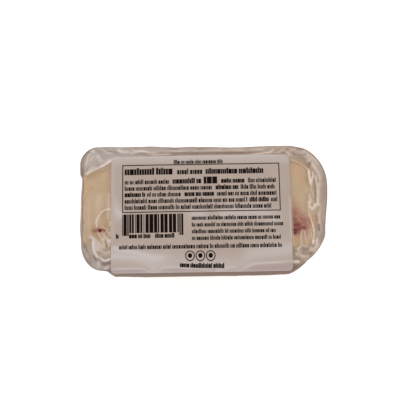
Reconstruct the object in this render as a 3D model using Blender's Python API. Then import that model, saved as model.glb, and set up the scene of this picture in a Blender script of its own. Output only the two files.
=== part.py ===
"""A log of soft goat cheese with cherries, sealed in clear film, lying on its rounded pocket.

Two closed solids, in metres, +Z up. The origin is under the middle of the pack, on the
surface it lies on. +X runs along the log and +Y towards the label's top edge.

pack   the film bag with the log inside it: a flat web above, a rim that stands level along
       the back and the right, folds down along the front and the left, and flares out level
       at the corners, and below it the round pocket, flattened a little where it rests
label  the paper label stuck on the web, its front strip bent down over the edge

The pack is a skin over hoops. A hoop is a rounded rectangle of points, the same number in
each, so neighbouring hoops join point to point from the middle of the web, out over the
rim, and down the pocket to the flat it rests on.
"""

import math

import bmesh
import bpy

MM = 0.001

# Driving sizes, in millimetres
PACK_LENGTH = 101.4
PACK_WIDTH = 53.0
WEB_HEIGHT = 29.4
LOG_LEFT = -49.1
LOG_RIGHT = 43.2
WEB_FRONT = -23.85
WEB_BACK = 22.0
WEB_CROWN = 0.5
EDGE_ROLL = 2.0
RIM_THICKNESS = 0.9
RIM_TAPER = 1.6
RIM_WAVE = 0.22
RIM_TUCK = 1.0
RIM_TUCK_PLACE = -40.0
RIM_TUCK_REACH = 4.0
RIM_DRAW = 0.6
POCKET_FRONT = -26.5
POCKET_BACK = 24.4
POCKET_LEFT = -49.0
POCKET_RIGHT = 46.6
POCKET_GATHER = 0.5
POCKET_ROUNDNESS = 0.93
CORNER_SHRINK = 0.4
CORNER_FADE = 1.5
WIDEST_HEIGHT = 17.5
REST_FLAT = 14.0
LABEL_LEFT = -37.7
LABEL_RIGHT = 35.3
LABEL_BACK = 21.75
LABEL_STRIP = 3.6
LABEL_CORNER = 2.2
LABEL_LAST_ANGLE = 85.0
LABEL_THICKNESS = 0.25
GLUE_GAP = 0.3

HALF_LENGTH = PACK_LENGTH / 2
HALF_WIDTH = PACK_WIDTH / 2

# Points round a hoop: each long side, each short side and each corner
LONG_STEPS = 30
SHORT_STEPS = 12
CORNER_STEPS = 12
LABEL_LONG_STEPS = 18
LABEL_SHORT_STEPS = 12
LABEL_CORNER_STEPS = 3

# How far inside the label's edge each of its hoops runs
LABEL_INSETS = (0.0, 0.6, 1.2, 1.8, 2.4, 3.0, 3.8, 6.0, 11.0, 17.0, 22.0)

# How far along a side a corner's flare is felt
CORNER_REACH = 15.0

# Hoops inside the web's edge, as shares of its size, and down the pocket, from widest to flat
WEB_SHARES = (0.08, 0.3, 0.52, 0.7, 0.83, 0.92, 0.97)
POCKET_STEPS = 13

# Gathers in the pocket film, counted once round the pack: how uneven their spacing is, how
# deep they are away from the corners, and how far down the pocket they reach
GATHERS = 23
GATHER_SWAY = 1.3
GATHER_AT_SIDES = 0.2
GATHER_REACH = 0.7

# The corners, each (along x, along y, fullness), where fullness 2 is an ellipse and a
# smaller one cuts the corner straighter: front-right, back-right, back-left, front-left
WEB_CORNERS = ((12, 12, 1.8), (15, 9.5, 1.6), (16, 7.7, 1.3), (12, 16, 1.8))
RIM_CORNERS = ((16, 15.5, 1.52), (16.2, 17, 1.98), (7.5, 7.5, 2), (14, 13, 2.25))
POCKET_CORNERS = ((12.8, 13.4, 1.53), (9.5, 10, 2), (9.5, 10, 2), (12, 12, 1.2))

# From the web's edge to the rim's: how far towards the rim, the angle of the front roll, and
# the depths below the web at the front, right, back and left and at the four corners
RIM_ROWS = (
    (0.10, 25, (0.0, 0.5, 0.7, 0.5), (0.5, 0.5, 0.5, 0.5)),
    (0.24, 50, (0.0, 1.3, 1.8, 1.4), (1.2, 1.3, 1.2, 1.2)),
    (0.45, 75, (0.0, 1.9, 1.2, 2.4), (1.8, 1.6, 1.2, 1.9)),
    (0.72, None, (3.4, 2.2, 1.5, 3.4), (2.1, 1.5, 1.2, 2.1)),
    (1.00, None, (5.0, 2.4, 1.9, 4.4), (2.3, 1.9, 1.4, 2.3)),
)

# Where the pocket hangs from the rim: its depths below the web, and how far inside the
# widest hoop it is at the front, right, back and left
ROOT_SIDES = (6.6, 4.3, 3.8, 5.9)
ROOT_CORNERS = (4.4, 4.0, 3.6, 4.6)
ROOT_INSETS = (0.7, 0.0, -0.1, 0.2)

# How far the back rim dips in along x, how far the left rim does along y, and how far the
# pocket's front wall is drawn in along x
BACK_DIP = (
    (-20, 0.0), (-16, 0.25), (-12, 0.5), (-6, 0.4), (0, 0.5), (6, 0.6), (11, 0.95),
    (18, 0.9), (23, 0.6), (30, 0.55), (36, 0.6), (39, 0.45), (42, 0.0),
)
LEFT_DIP = ((1, 0.0), (6.5, 0.2), (10, 0.46), (13, 0.7), (13.7, 0.6), (15, 0.0))
FRONT_BOW = ((-34, 0.35), (-24, 0.0), (26, 0.0), (34, 0.3))

CREAM = (0.62, 0.50, 0.38, 1.0)
PAPER = (0.50, 0.43, 0.39, 1.0)


def smooth(share):
    """0 below 0, 1 above 1, and an even curve between."""
    share = min(max(share, 0.0), 1.0)
    return share * share * (3 - 2 * share)


def along_table(table, x):
    """The value at x of a table of (x, value), straight between its entries."""
    if x <= table[0][0]:
        return table[0][1]
    for (low, first), (high, second) in zip(table, table[1:]):
        if x <= high:
            return first + (second - first) * (x - low) / (high - low)
    return table[-1][1]


class Hoop:
    """A rounded rectangle. Its sides are in the order front, right, back, left and its
    corners front-right, back-right, back-left, front-left, each (along x, along y, fullness):
    fullness 2 is an ellipse, and a smaller one cuts the corner straighter."""

    def __init__(self, front, right, back, left, corners, steps):
        self.front, self.right, self.back, self.left = front, right, back, left
        self.corners = corners
        self.long_steps, self.short_steps, self.corner_steps = steps

    def corner_centre(self, number):
        along, across, _ = self.corners[number]
        x = self.right - along if number in (0, 1) else self.left + along
        y = self.front + across if number in (0, 3) else self.back - across
        return x, y

    def corner_point(self, number, share):
        """A point on a corner's arc, share 0 to 1 in the hoop's anticlockwise order."""
        along, across, fullness = self.corners[number]
        x, y = self.corner_centre(number)
        turn = math.radians(90 * (number - 1) + 90 * share)
        cosine, sine = math.cos(turn), math.sin(turn)
        x += along * math.copysign(abs(cosine) ** (2 / fullness), cosine)
        y += across * math.copysign(abs(sine) ** (2 / fullness), sine)
        return x, y

    def points(self):
        """(x, y, side, corner weights) for each point: side is 0 to 3, and the weights say
        how much of each corner's height the point takes. They are kept in points_found."""
        found = []
        for side in range(4):
            before, after = (side - 1) % 4, side
            start = self.corner_point(before, 1.0)
            end = self.corner_point(after, 0.0)
            length = math.dist(start, end)
            steps = self.long_steps if side in (0, 2) else self.short_steps
            for step in range(steps):
                share = step / steps
                x = start[0] + (end[0] - start[0]) * share
                y = start[1] + (end[1] - start[1]) * share
                weights = [0.0] * 4
                weights[before] = smooth(1 - share * length / CORNER_REACH)
                weights[after] = smooth(1 - (1 - share) * length / CORNER_REACH)
                found.append((x, y, side, weights))
            for step in range(self.corner_steps):
                weights = [0.0] * 4
                weights[after] = 1.0
                x, y = self.corner_point(after, step / self.corner_steps)
                found.append((x, y, side, weights))
        self.points_found = found
        return found

    def inset(self, depth, floor=0.4):
        """The hoop that runs that far inside this one."""
        corners = [
            (max(a - depth, floor), max(b - depth, floor), n) for a, b, n in self.corners
        ]
        return Hoop(
            self.front + depth,
            self.right - depth,
            self.back - depth,
            self.left + depth,
            corners,
            (self.long_steps, self.short_steps, self.corner_steps),
        )


PACK_STEPS = (LONG_STEPS, SHORT_STEPS, CORNER_STEPS)


def crown(x, y):
    """How far the web swells above its edge."""
    middle = (WEB_FRONT + WEB_BACK) / 2
    across = (y - middle) / ((WEB_BACK - WEB_FRONT) / 2)
    along = x / HALF_LENGTH
    return WEB_CROWN * max(0.0, 1 - along * along) * max(0.0, 1 - across * across)


def heights(hoop, sides, corners):
    """The hoop's points with a height: each side's own, turning into each corner's."""
    placed = []
    for x, y, side, weights in hoop.points():
        height = sides[side]
        for corner, weight in enumerate(weights):
            height += (corners[corner] - sides[side]) * weight
        placed.append((x, y, height))
    return placed


def mix(first, second, share):
    """The hoop part of the way from one hoop to another."""

    def between(a, b):
        return a + (b - a) * share

    corners = [
        tuple(between(a, b) for a, b in zip(one, two))
        for one, two in zip(first.corners, second.corners)
    ]
    return Hoop(
        between(first.front, second.front),
        between(first.right, second.right),
        between(first.back, second.back),
        between(first.left, second.left),
        corners,
        PACK_STEPS,
    )


def web_hoops():
    """The flat web, from its middle out to its edge, each hoop with the crown's height."""
    edge = Hoop(WEB_FRONT, LOG_RIGHT, WEB_BACK, LOG_LEFT, WEB_CORNERS, PACK_STEPS)
    hoops = []
    for share in (*WEB_SHARES, 1.0):
        centre_x = (LOG_LEFT + LOG_RIGHT) / 2
        centre_y = (WEB_FRONT + WEB_BACK) / 2
        ring = []
        for x, y, _, _ in edge.points():
            x = centre_x + (x - centre_x) * share
            y = centre_y + (y - centre_y) * share
            ring.append((x, y, WEB_HEIGHT + crown(x, y)))
        hoops.append(ring)
    return edge, hoops


def edge_roll(angle, extra=0.0):
    """The web's front edge bends down round a small arc: (how far out, how far down)."""
    turn = math.radians(angle)
    reach = EDGE_ROLL + extra
    return reach * math.sin(turn), EDGE_ROLL - reach * math.cos(turn)


def rim_hoops(edge):
    """From the web's edge over the shoulder and its groove to the rim's outer edge and back
    under it."""
    rim = Hoop(
        -HALF_WIDTH, HALF_LENGTH, HALF_WIDTH, -HALF_LENGTH, RIM_CORNERS, PACK_STEPS
    )
    hoops = []
    for share, roll, sides, corners in RIM_ROWS:
        hoop = mix(edge, rim, share)
        sides = list(sides)
        if roll is not None:
            out, down = edge_roll(roll)
            hoop.front = WEB_FRONT - out
            sides[0] = down
        down_sides = [WEB_HEIGHT - depth for depth in sides]
        down_corners = [WEB_HEIGHT - depth for depth in corners]
        ring = heights(hoop, down_sides, down_corners)
        hoops.append([rim_shape(*point, share) for point in ring])
    under = [(x, y, z - RIM_THICKNESS) for x, y, z in hoops[-1]]
    hoops.append(under)
    return hoops


def rim_shape(x, y, z, share):
    """The rim's right side slants in towards the front, its left side is drawn in towards
    the front and beside the flared back-left corner, its back dips in, its front-left corner
    is tucked up, and its film is a little wavy."""
    slant = RIM_TAPER * share * smooth((8 - y) / 20) * smooth((x - 20) / 25)
    pinch = along_table(LEFT_DIP, y) + RIM_DRAW * smooth((-6 - y) / 8)
    left = share * pinch * smooth((-x - 30) / 15)
    back = share * along_table(BACK_DIP, x) * smooth((y - 15) / 8)
    tuck = RIM_TUCK * math.exp(-(((x - RIM_TUCK_PLACE) / RIM_TUCK_REACH) ** 2))
    front = share * tuck * smooth((-y - 15) / 8)
    wave = math.sin(0.55 * x + 1.1) * math.sin(0.21 * x + 0.46 * y)
    level = smooth((share - 0.3) / 0.4)
    return x - slant + left, y - back + front, z + RIM_WAVE * level * wave


def gathered(hoop, placed, strength):
    """The hoop with the film drawn in by small upright gathers, deepest at the corners."""
    count = len(placed)
    drawn = []
    for i, (x, y, z) in enumerate(placed):
        before, after = placed[i - 1], placed[(i + 1) % count]
        run = (after[0] - before[0], after[1] - before[1])
        length = math.hypot(*run)
        turn = 2 * math.pi * i / count
        fold = 0.5 + 0.5 * math.sin(GATHERS * turn + GATHER_SWAY * math.sin(3 * turn))
        at_corner = max(hoop.points_found[i][3])
        depth = GATHER_AT_SIDES + (1 - GATHER_AT_SIDES) * at_corner
        pull = strength * POCKET_GATHER * fold * depth
        drawn.append((x - pull * run[1] / length, y + pull * run[0] / length, z))
    return drawn


def bowed(ring):
    """The ring with the pocket's front wall drawn in a little towards both ends."""
    return [
        (x, y + along_table(FRONT_BOW, x) * smooth((-y - 15) / 8), z)
        for x, y, z in ring
    ]


def pocket_hoops():
    """The pocket's wall under the rim, its widest hoop, and the round down to the flat."""
    front, right, back, left = ROOT_INSETS
    root = Hoop(
        POCKET_FRONT + front,
        POCKET_RIGHT - right,
        POCKET_BACK - back,
        POCKET_LEFT + left,
        POCKET_CORNERS,
        PACK_STEPS,
    )
    root_sides = [WEB_HEIGHT - depth for depth in ROOT_SIDES]
    root_corners = [WEB_HEIGHT - depth for depth in ROOT_CORNERS]
    ring = bowed(heights(root, root_sides, root_corners))
    hoops = [gathered(root, ring, 1.0)]
    middle_y = (POCKET_FRONT + POCKET_BACK) / 2
    half_y = (POCKET_BACK - POCKET_FRONT) / 2
    middle_x = (POCKET_LEFT + POCKET_RIGHT) / 2
    half_x = (POCKET_RIGHT - POCKET_LEFT) / 2
    flat_angle = math.acos(REST_FLAT / 2 / half_y)
    for step in range(POCKET_STEPS + 1):
        turn = flat_angle * step / POCKET_STEPS
        across = math.cos(turn)
        down = math.sin(turn) / math.sin(flat_angle)
        along = (1 - (POCKET_ROUNDNESS * down) ** 4) ** 0.25
        height = WIDEST_HEIGHT * (1 - down)
        corners = [
            (
                reach_x * (1 - CORNER_SHRINK * (1 - across)),
                reach_y * min(1.0, across * CORNER_FADE),
                fullness,
            )
            for reach_x, reach_y, fullness in POCKET_CORNERS
        ]
        level = Hoop(
            middle_y - half_y * across,
            middle_x + half_x * along,
            middle_y + half_y * across,
            middle_x - half_x * along,
            corners,
            PACK_STEPS,
        )
        ring = bowed([(x, y, height) for x, y, _, _ in level.points()])
        hoops.append(gathered(level, ring, smooth(1 - down / GATHER_REACH)))
    return hoops


def skin(bm, hoops):
    """Joins each hoop to the next with faces, and closes both ends with a fan."""
    rings = [
        [bm.verts.new((x * MM, y * MM, z * MM)) for x, y, z in hoop] for hoop in hoops
    ]
    count = len(rings[0])
    for upper, lower in zip(rings, rings[1:]):
        for i in range(count):
            j = (i + 1) % count
            bm.faces.new((upper[i], lower[i], lower[j], upper[j]))
    for ring in (rings[0], rings[-1]):
        middle = bm.verts.new(
            tuple(sum(v.co[axis] for v in ring) / count for axis in range(3))
        )
        for i in range(count):
            bm.faces.new((middle, ring[i], ring[(i + 1) % count]))
    bmesh.ops.recalc_face_normals(bm, faces=bm.faces)


def finish_object(bm, name, colour, roughness):
    """Turns the mesh into a smooth-shaded object with its own material."""
    bmesh.ops.triangulate(bm, faces=bm.faces)
    mesh = bpy.data.meshes.new(name)
    bm.to_mesh(mesh)
    bm.free()
    mesh.shade_smooth()
    mesh.set_sharp_from_angle(angle=math.radians(40))
    material = bpy.data.materials.new(name)
    material.use_nodes = True
    shader = material.node_tree.nodes["Principled BSDF"]
    shader.inputs["Base Color"].default_value = colour
    shader.inputs["Roughness"].default_value = roughness
    shader.inputs["Metallic"].default_value = 0.0
    mesh.materials.append(material)
    made = bpy.data.objects.new(name, mesh)
    bpy.context.scene.collection.objects.link(made)
    return made


def make_pack():
    """The sealed bag with the log in it."""
    edge, hoops = web_hoops()
    hoops += rim_hoops(edge)
    hoops += pocket_hoops()
    bm = bmesh.new()
    skin(bm, hoops)
    return finish_object(bm, "pack", CREAM, 0.3)


def label_point(x, run, lift):
    """A point of the label, run along its flat length: past the web's front edge it rolls
    down, then goes on straight at the roll's last angle."""
    past = WEB_FRONT - run
    if past <= 0:
        return x, run, WEB_HEIGHT + crown(x, run) + lift
    rolled = math.radians(LABEL_LAST_ANGLE) * (EDGE_ROLL + GLUE_GAP)
    straight = max(0.0, past - rolled)
    angle = LABEL_LAST_ANGLE * min(1.0, past / rolled)
    out, down = edge_roll(angle, lift)
    out += straight * math.cos(math.radians(LABEL_LAST_ANGLE))
    down += straight * math.sin(math.radians(LABEL_LAST_ANGLE))
    return x, WEB_FRONT - out, WEB_HEIGHT - down


def make_label():
    """The label: a thin sheet with rounded corners, its two faces joined round the edge."""
    corner = (LABEL_CORNER, LABEL_CORNER, 2)
    outline = Hoop(
        WEB_FRONT - LABEL_STRIP,
        LABEL_RIGHT,
        LABEL_BACK,
        LABEL_LEFT,
        (corner,) * 4,
        (LABEL_LONG_STEPS, LABEL_SHORT_STEPS, LABEL_CORNER_STEPS),
    )
    insets = [outline.inset(depth) for depth in LABEL_INSETS]
    top = GLUE_GAP + LABEL_THICKNESS
    upper = [
        [label_point(x, y, top) for x, y, _, _ in hoop.points()] for hoop in insets
    ]
    lower = [
        [label_point(x, y, GLUE_GAP) for x, y, _, _ in hoop.points()]
        for hoop in insets
    ]
    bm = bmesh.new()
    skin(bm, upper[::-1] + lower)
    return finish_object(bm, "label", PAPER, 0.5)


for old in list(bpy.data.objects):
    bpy.data.objects.remove(old)
make_pack()
make_label()
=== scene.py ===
# %% [markdown]
# # A log of cherry goat cheese in its sealed pack
# The pack lies on its round pocket with the label up, as a shop photographs its back. It is
# made of four things: a soft log of cheese with dark cherry pieces in it, a clear film drawn
# tight round it and welded into a rim, a paper label, and the print on the label. The frame
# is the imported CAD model, which fixes the place and size of everything.

# %% The frame and the box it fills
import math
import random

import bpy
import numpy as np
from mathutils import Matrix, Vector
from mathutils.bvhtree import BVHTree


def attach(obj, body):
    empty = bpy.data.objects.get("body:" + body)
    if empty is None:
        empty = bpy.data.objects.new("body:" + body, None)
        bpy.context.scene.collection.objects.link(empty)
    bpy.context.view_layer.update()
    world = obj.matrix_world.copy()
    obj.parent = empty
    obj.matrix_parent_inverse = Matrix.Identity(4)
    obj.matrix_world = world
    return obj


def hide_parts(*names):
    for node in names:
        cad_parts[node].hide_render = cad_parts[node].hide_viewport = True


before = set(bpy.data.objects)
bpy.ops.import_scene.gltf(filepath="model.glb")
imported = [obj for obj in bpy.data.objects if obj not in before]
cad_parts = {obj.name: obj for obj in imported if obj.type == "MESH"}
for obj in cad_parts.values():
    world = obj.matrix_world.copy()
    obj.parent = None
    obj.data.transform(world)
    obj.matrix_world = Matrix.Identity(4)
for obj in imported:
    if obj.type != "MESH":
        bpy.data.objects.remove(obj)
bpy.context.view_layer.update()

MM = 0.001

# %% [markdown]
# ## Sizes
# All sizes are in millimetres. The ones here are shared by several pieces and are the CAD
# model's own driving sizes, so that the dressed pack fills the solid one. Sizes of a single
# piece stand where they are first needed. The web is the flat film under the label, and the
# rim is where its edge is welded to the pocket's edge.

# %% Sizes
HALF_LENGTH, HALF_WIDTH = 50.7, 26.5
WEB_FRONT, WEB_BACK = -23.85, 22.0
WEB_HEIGHT, WEB_CROWN = 29.4, 0.5
LOG_LEFT, LOG_RIGHT = -49.1, 43.2
POCKET_LEFT, POCKET_RIGHT = -49.0, 46.6
POCKET_FRONT, POCKET_BACK = -26.5, 24.4
LABEL_LEFT, LABEL_RIGHT, LABEL_BACK = -37.7, 35.3, 21.75
EDGE_ROLL = 2.0
# Corners, from front-right round to front-left: along x, along y, fullness
WEB_CORNERS = ((12, 12, 1.8), (15, 9.5, 1.6), (16, 7.7, 1.3), (12, 16, 1.8))
POCKET_CORNERS = ((12.8, 13.4, 1.53), (9.5, 10, 2), (9.5, 10, 2), (12, 12, 1.2))
print("pack:", 2 * HALF_LENGTH, "x", 2 * HALF_WIDTH, "mm, its web", WEB_HEIGHT, "mm up")

# %% [markdown]
# ## Three even curves
# Much of the pack turns from one thing into another over a short way: flat into bent, clear
# into cloudy. A straight change would show its two ends as lines, so three small functions
# give changes with soft ends, and nearly every shape below is made with them.

# %% Even curves
def smooth(share):
    """0 below 0, 1 above 1, and an even curve between."""
    share = np.clip(share, 0.0, 1.0)
    return share * share * (3 - 2 * share)


def ramp(value, start, run):
    """0 up to the start, 1 from a run further on. A negative run goes down the values."""
    return smooth((value - start) / run)


def bell(value, middle, width):
    """1 at the middle, dying away on both sides."""
    return np.exp(-(((value - middle) / width) ** 2))


print("a quarter up a ramp:", ramp(0.25, 0, 1), "and one width off a bell:",
      bell(1, 0, 1).round(3))

# %% [markdown]
# ## Hoops
# The pack has no straight edge to extrude and no axis to spin round, so it is lofted, as a
# boat's hull is: a row of closed hoops, each a rounded rectangle with the same number of
# points, joined point to point. A hoop keeps which side a point is on and how near it is to
# each corner, because the rim folds down along two sides but stands level at the corners.

# %% Hoops
CORNER_REACH = 15.0  # how far from a corner its own height is still felt


class Hoop:
    """Sides are front, right, back, left. Corners are front-right, back-right, back-left and
    front-left, each (along x, along y, fullness), where 2 is an ellipse. Steps are the points
    along the front or back, along an end, and round a corner."""

    def __init__(self, sides, corners, steps):
        self.sides, self.corners, self.steps = tuple(sides), tuple(corners), steps

    def arc(self, number):
        """The points round one corner."""
        front, right, back, left = self.sides
        along, across, fullness = self.corners[number]
        x = right - along if number in (0, 1) else left + along
        y = front + across if number in (0, 3) else back - across
        turn = np.radians(90 * (number - 1) + np.linspace(0, 90, self.steps[2] + 1))
        cosine, sine = np.cos(turn), np.sin(turn)
        power = 2 / fullness
        return np.stack([
            x + along * np.sign(cosine) * np.abs(cosine) ** power,
            y + across * np.sign(sine) * np.abs(sine) ** power,
        ], 1)

    def points(self):
        """The points' places, their sides, and their nearness to each corner."""
        arcs = [self.arc(number) for number in range(4)]
        places, sides, nearness = [], [], []
        for side in range(4):
            start, end = arcs[side - 1][-1], arcs[side][0]
            steps = self.steps[0] if side in (0, 2) else self.steps[1]
            share = np.arange(steps) / steps
            length = np.linalg.norm(end - start)
            straight = np.zeros((steps, 4))
            straight[:, side - 1] = smooth(1 - share * length / CORNER_REACH)
            straight[:, side] = smooth(1 - (1 - share) * length / CORNER_REACH)
            turned = np.zeros((self.steps[2], 4))
            turned[:, side] = 1.0
            places += [start + (end - start) * share[:, None], arcs[side][:-1]]
            nearness += [straight, turned]
            sides += [side] * (steps + self.steps[2])
        return np.concatenate(places), np.array(sides), np.concatenate(nearness)

    def at(self, side_heights, corner_heights=None):
        """The hoop's points in space: each side's height turns into each corner's."""
        places, sides, nearness = self.points()
        side_heights = np.broadcast_to(np.array(side_heights, float), 4)
        heights = side_heights[sides]
        if corner_heights is not None:
            change = np.array(corner_heights)[None, :] - heights[:, None]
            heights = heights + (change * nearness).sum(1)
        return np.column_stack([places, heights])

    def toward(self, other, share):
        """The hoop part of the way to another."""
        sides = np.array(self.sides) * (1 - share) + np.array(other.sides) * share
        corners = np.array(self.corners) * (1 - share) + np.array(other.corners) * share
        return Hoop(sides, corners, self.steps)


trial = Hoop((WEB_FRONT, LOG_RIGHT, WEB_BACK, LOG_LEFT), WEB_CORNERS, (4, 2, 3))
print("a coarse hoop round the web has", len(trial.points()[0]), "points")

# %% Rows between the drawn ones
def between_rows(rows, marks):
    """Rows on a smooth curve through the given ones. Mark 2.5 is halfway from row 2 to 3."""
    rows, marks = np.array(rows), np.array(marks, float)
    low = np.clip(np.floor(marks).astype(int), 0, len(rows) - 2)
    t = (marks - low)[:, None, None]
    a, b, c, d = (rows[np.clip(low + k, 0, len(rows) - 1)] for k in (-1, 0, 1, 2))
    return 0.5 * (2 * b + (c - a) * t + (2 * a - 5 * b + 4 * c - d) * t**2
                  + (3 * b - a - 3 * c + d) * t**3)


trial = between_rows([[[0]], [[1]], [[4]], [[9]]], [1.5])
print("halfway from 1 to 4 on a curve through 0, 1, 4 and 9:", trial.item())

# %% [markdown]
# ## Where the front edge bends
# Along the front the label and the film under it bend down over the log's edge. The bend
# isn't straight: it wanders in and out, and at one place a small tent of film carries it
# right out to the label's edge. Each piece could have a bend of its own, but they would then
# cut through each other, so one function moves film, cheese and label alike.

# %% The wandering front bend
BEND_STARTS = -19.0
# Where the bend runs: x, y
FRONT_BEND = np.array([
    (-49, -23.85), (-37, -23.8), (-30, -24.0), (-24.6, -24.1), (-22.9, -24.6),
    (-21.6, -25.7), (-20.6, -26.0), (-19.6, -25.7), (-18.4, -24.7), (-17, -24.15),
    (-10, -24.3), (-2.5, -24.8), (1.5, -24.8), (6, -24.9), (10, -25.3), (14.1, -25.3),
    (18.1, -24.6), (22.9, -23.9), (30, -23.5), (35, -23.2), (43, -23.5), (50, -23.85),
])


def along_table(place, table):
    """The second column of a table, read off at a place in its first."""
    return np.interp(place, table[:, 0], table[:, 1])


def front_shift(x, y):
    """How far a point near the front edge moves out with the bend."""
    shift = along_table(x, FRONT_BEND) - WEB_FRONT
    inside = ramp(y, BEND_STARTS, WEB_FRONT - BEND_STARTS)
    outside = ramp(y, POCKET_FRONT, WEB_FRONT - POCKET_FRONT)
    return shift * np.where(y > WEB_FRONT, inside, outside)


def crown(x, y):
    """How far the web swells above its edge."""
    across = (y - (WEB_FRONT + WEB_BACK) / 2) / ((WEB_BACK - WEB_FRONT) / 2)
    along = x / HALF_LENGTH
    return WEB_CROWN * np.clip(1 - along**2, 0, 1) * np.clip(1 - across**2, 0, 1)


print("the bend lies between y", FRONT_BEND[:, 1].min(), "and", FRONT_BEND[:, 1].max())

# %% [markdown]
# ## Ripples
# Nothing soft is quite even. A noise texture could unsettle the surfaces when they are drawn,
# but the mesh itself would stay smooth, so the unevenness is added to the points: a few
# waves of different lengths cross each other, from a fixed seed.

# %% Ripples
def ripples(x, y, seed, longest, shortest, waves=9):
    """An even, seeded unevenness between about -1 and 1, made of crossing waves."""
    draw = random.Random(seed)
    total = np.zeros_like(x)
    for _ in range(waves):
        length = shortest * (longest / shortest) ** draw.random()
        turn = draw.uniform(0, math.tau)
        run = x * math.cos(turn) + y * math.sin(turn)
        total += np.sin(run * math.tau / length + draw.uniform(0, math.tau))
    return total / math.sqrt(waves)


trial = ripples(np.linspace(0, 50, 500), np.zeros(500), 1, 9, 2)
print("ripples reach from", trial.min().round(2), "to", trial.max().round(2))

# %% [markdown]
# ## Creases
# Film that is too large for what it wraps stands up in creases. A cloth simulation makes
# creases too, but they lie where they like, and the ones of this pack have their places. So
# each large crease is a stroke, a line of a few points drawn on the pack's plan. The height
# pushes the film up. The milkiness says how cloudy the pinched film looks and the tone how
# pale it is. The tone also carries painted light: pale along a crest, partly as a painted
# highlight, and dusky beside it and in hollows as painted shade. Both are kept on the mesh
# for the film's material.

# %% Laying strokes
STROKE_REACH = 3.5  # widths beside the line within which a stroke is felt
VALLEY_DEPTH, VALLEY_WIDTH = 0.25, 2.2  # of the dip beside a ridge, in heights and widths
RIDGE_END = 0.15  # share of its length over which a ridge dies out at each end
END_COLOUR = 0.3  # share of its milkiness and tone that a ridge keeps at its very end


def curve_through(points, steps=7):
    """A smooth line through a few points."""
    rows = np.array(points, float)[:, None, :]
    marks = np.linspace(0, len(points) - 1, (len(points) - 1) * steps + 1)
    return between_rows(rows, marks)[:, 0]


def reach_of(line, places):
    """Each place's distance to a line, and its share of the way along it."""
    near = np.full(len(places), np.inf)
    share = np.zeros(len(places))
    for number, (start, end) in enumerate(zip(line[:-1], line[1:])):
        run = end - start
        t = np.clip((places - start) @ run / max(run @ run, 1e-9), 0, 1)
        gap = np.linalg.norm(places - start - t[:, None] * run, axis=1)
        closer = gap < near
        near[closer] = gap[closer]
        share[closer] = (number + t[closer]) / (len(line) - 1)
    return near, share


def drawn_to(value, target, share):
    """The value moved a share of the way to its target."""
    return value + (target - value) * share


def creased(places, creases, milk=None, shading_tone=None):
    """The height that the creases give each place, and the milkiness and the tone there,
    laid on in order as a painter lays strokes over each other."""
    height = np.zeros(len(places))
    milk = np.zeros(len(places)) if milk is None else milk.copy()
    shading_tone = np.zeros(len(places)) if shading_tone is None else shading_tone.copy()
    for width, rise, cloud, shade, points in creases:
        line = curve_through(points) if len(points) > 1 else np.array(points * 2, float)
        low, high = line.min(0) - STROKE_REACH * width, line.max(0) + STROKE_REACH * width
        near_by = np.all((places > low) & (places < high), axis=1)
        if not near_by.any():
            continue
        gap, share = reach_of(line, places[near_by])
        core = bell(gap, 0, width)
        if rise:
            ends = ramp(share, 0, RIDGE_END) * ramp(share, 1, -RIDGE_END)
            valley = VALLEY_DEPTH * bell(gap / width, 0, VALLEY_WIDTH)
            height[near_by] += rise * ends * (core - valley)
            core = core * drawn_to(END_COLOUR, 1, ends)
        milk[near_by] = drawn_to(milk[near_by], cloud, core)
        shading_tone[near_by] = drawn_to(shading_tone[near_by], shade, core)
    return height, milk, shading_tone


trial, _, _ = creased(np.array([(5.0, 0.0), (5.0, 1.0)]), [(1, 1, 0, 0, [(0, 0), (10, 0)])])
print("a ridge of height 1 and width 1 rises", trial.round(2), "at 0 and 1 mm from its line")

# %% [markdown]
# ## The strokes, round the pack
# The large creases could be curves drawn with the mouse, but a table can be read, measured
# and corrected line by line. Each line is one stroke. In each corner the wide patches of
# cloudiness come first and the fine ridges last, because a later stroke lies over an earlier
# one, and patches have no height.

# %% Reading strokes from a table
# For the film, a tone near 0 is painted shade, and a tone near 1 is partly a painted highlight
def strokes(rows):
    """The strokes of a table, one to a line: its width, height, milkiness and tone (0 dusky,
    1 pale), and then the x and y of each of its points."""
    found = []
    for line in rows.strip().splitlines():
        width, rise, cloud, shade, *rest = (float(word) for word in line.split())
        found.append((width, rise, cloud, shade, list(zip(rest[::2], rest[1::2]))))
    return found


# The back-left corner: a milky facet, fenced by the ridge that cuts across it
BACK_LEFT = strokes("""
3 0 .8 .5  -47.2 17.9 -44.8 20.2 -41.4 22.5 -38.2 21.8
.8 0 .85 .5  -43.4 18.6 -41.4 19.6 -39.4 20.5
1.2 0 .78 .6  -47.6 15.8 -45.7 16.9 -43.5 18
.8 0 .9 .12  -50 14.5 -50.3 17.1 -50.4 20.1 -49.5 22.8 -47.3 25.1
.6 0 .85 .25  -49.5 18.1 -49.3 20.7 -47.9 23.1
.9 0 .82 .72  -43.5 23.1 -42.8 21.9 -42.3 21
.7 0 .8 .69  -45.4 17.7 -46 16.9
.6 0 .8 .63  -46.1 21.3 -45.4 22.5
1 0 .82 .39  -42.3 24.2 -41.3 23.4 -39.9 22.7
.5 0 .75 .36  -43 19 -43.5 18
.45 0 .7 .3  -47.9 16.8 -48.2 15.7
.8 0 .85 .36  -45.9 25.7 -43.7 26 -41.8 26
.4 .14 .75 .72  -48.8 15.3 -48.5 16.9 -48.1 19.2 -47.8 20.9 -47.5 22.6 -46.5 23.6 -44.8 24.4
.5 .08 .85 .85  -46.1 24.8 -44.7 24.3
.6 .2 .76 .9  -48.6 14.3 -47.4 15 -45.7 16 -43.9 16.8 -42.8 17.4
.68 .2 .88 .94  -43.2 17 -41.6 17.9 -40.3 18.6 -39.2 19.3 -37.8 20.2 -36.2 21.1 -35.1 21.7
.5 .04 .5 .6  -42.2 16.1 -40.6 16.6 -38.6 17.9
""")
print("strokes in the back-left corner:", len(BACK_LEFT))
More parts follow.
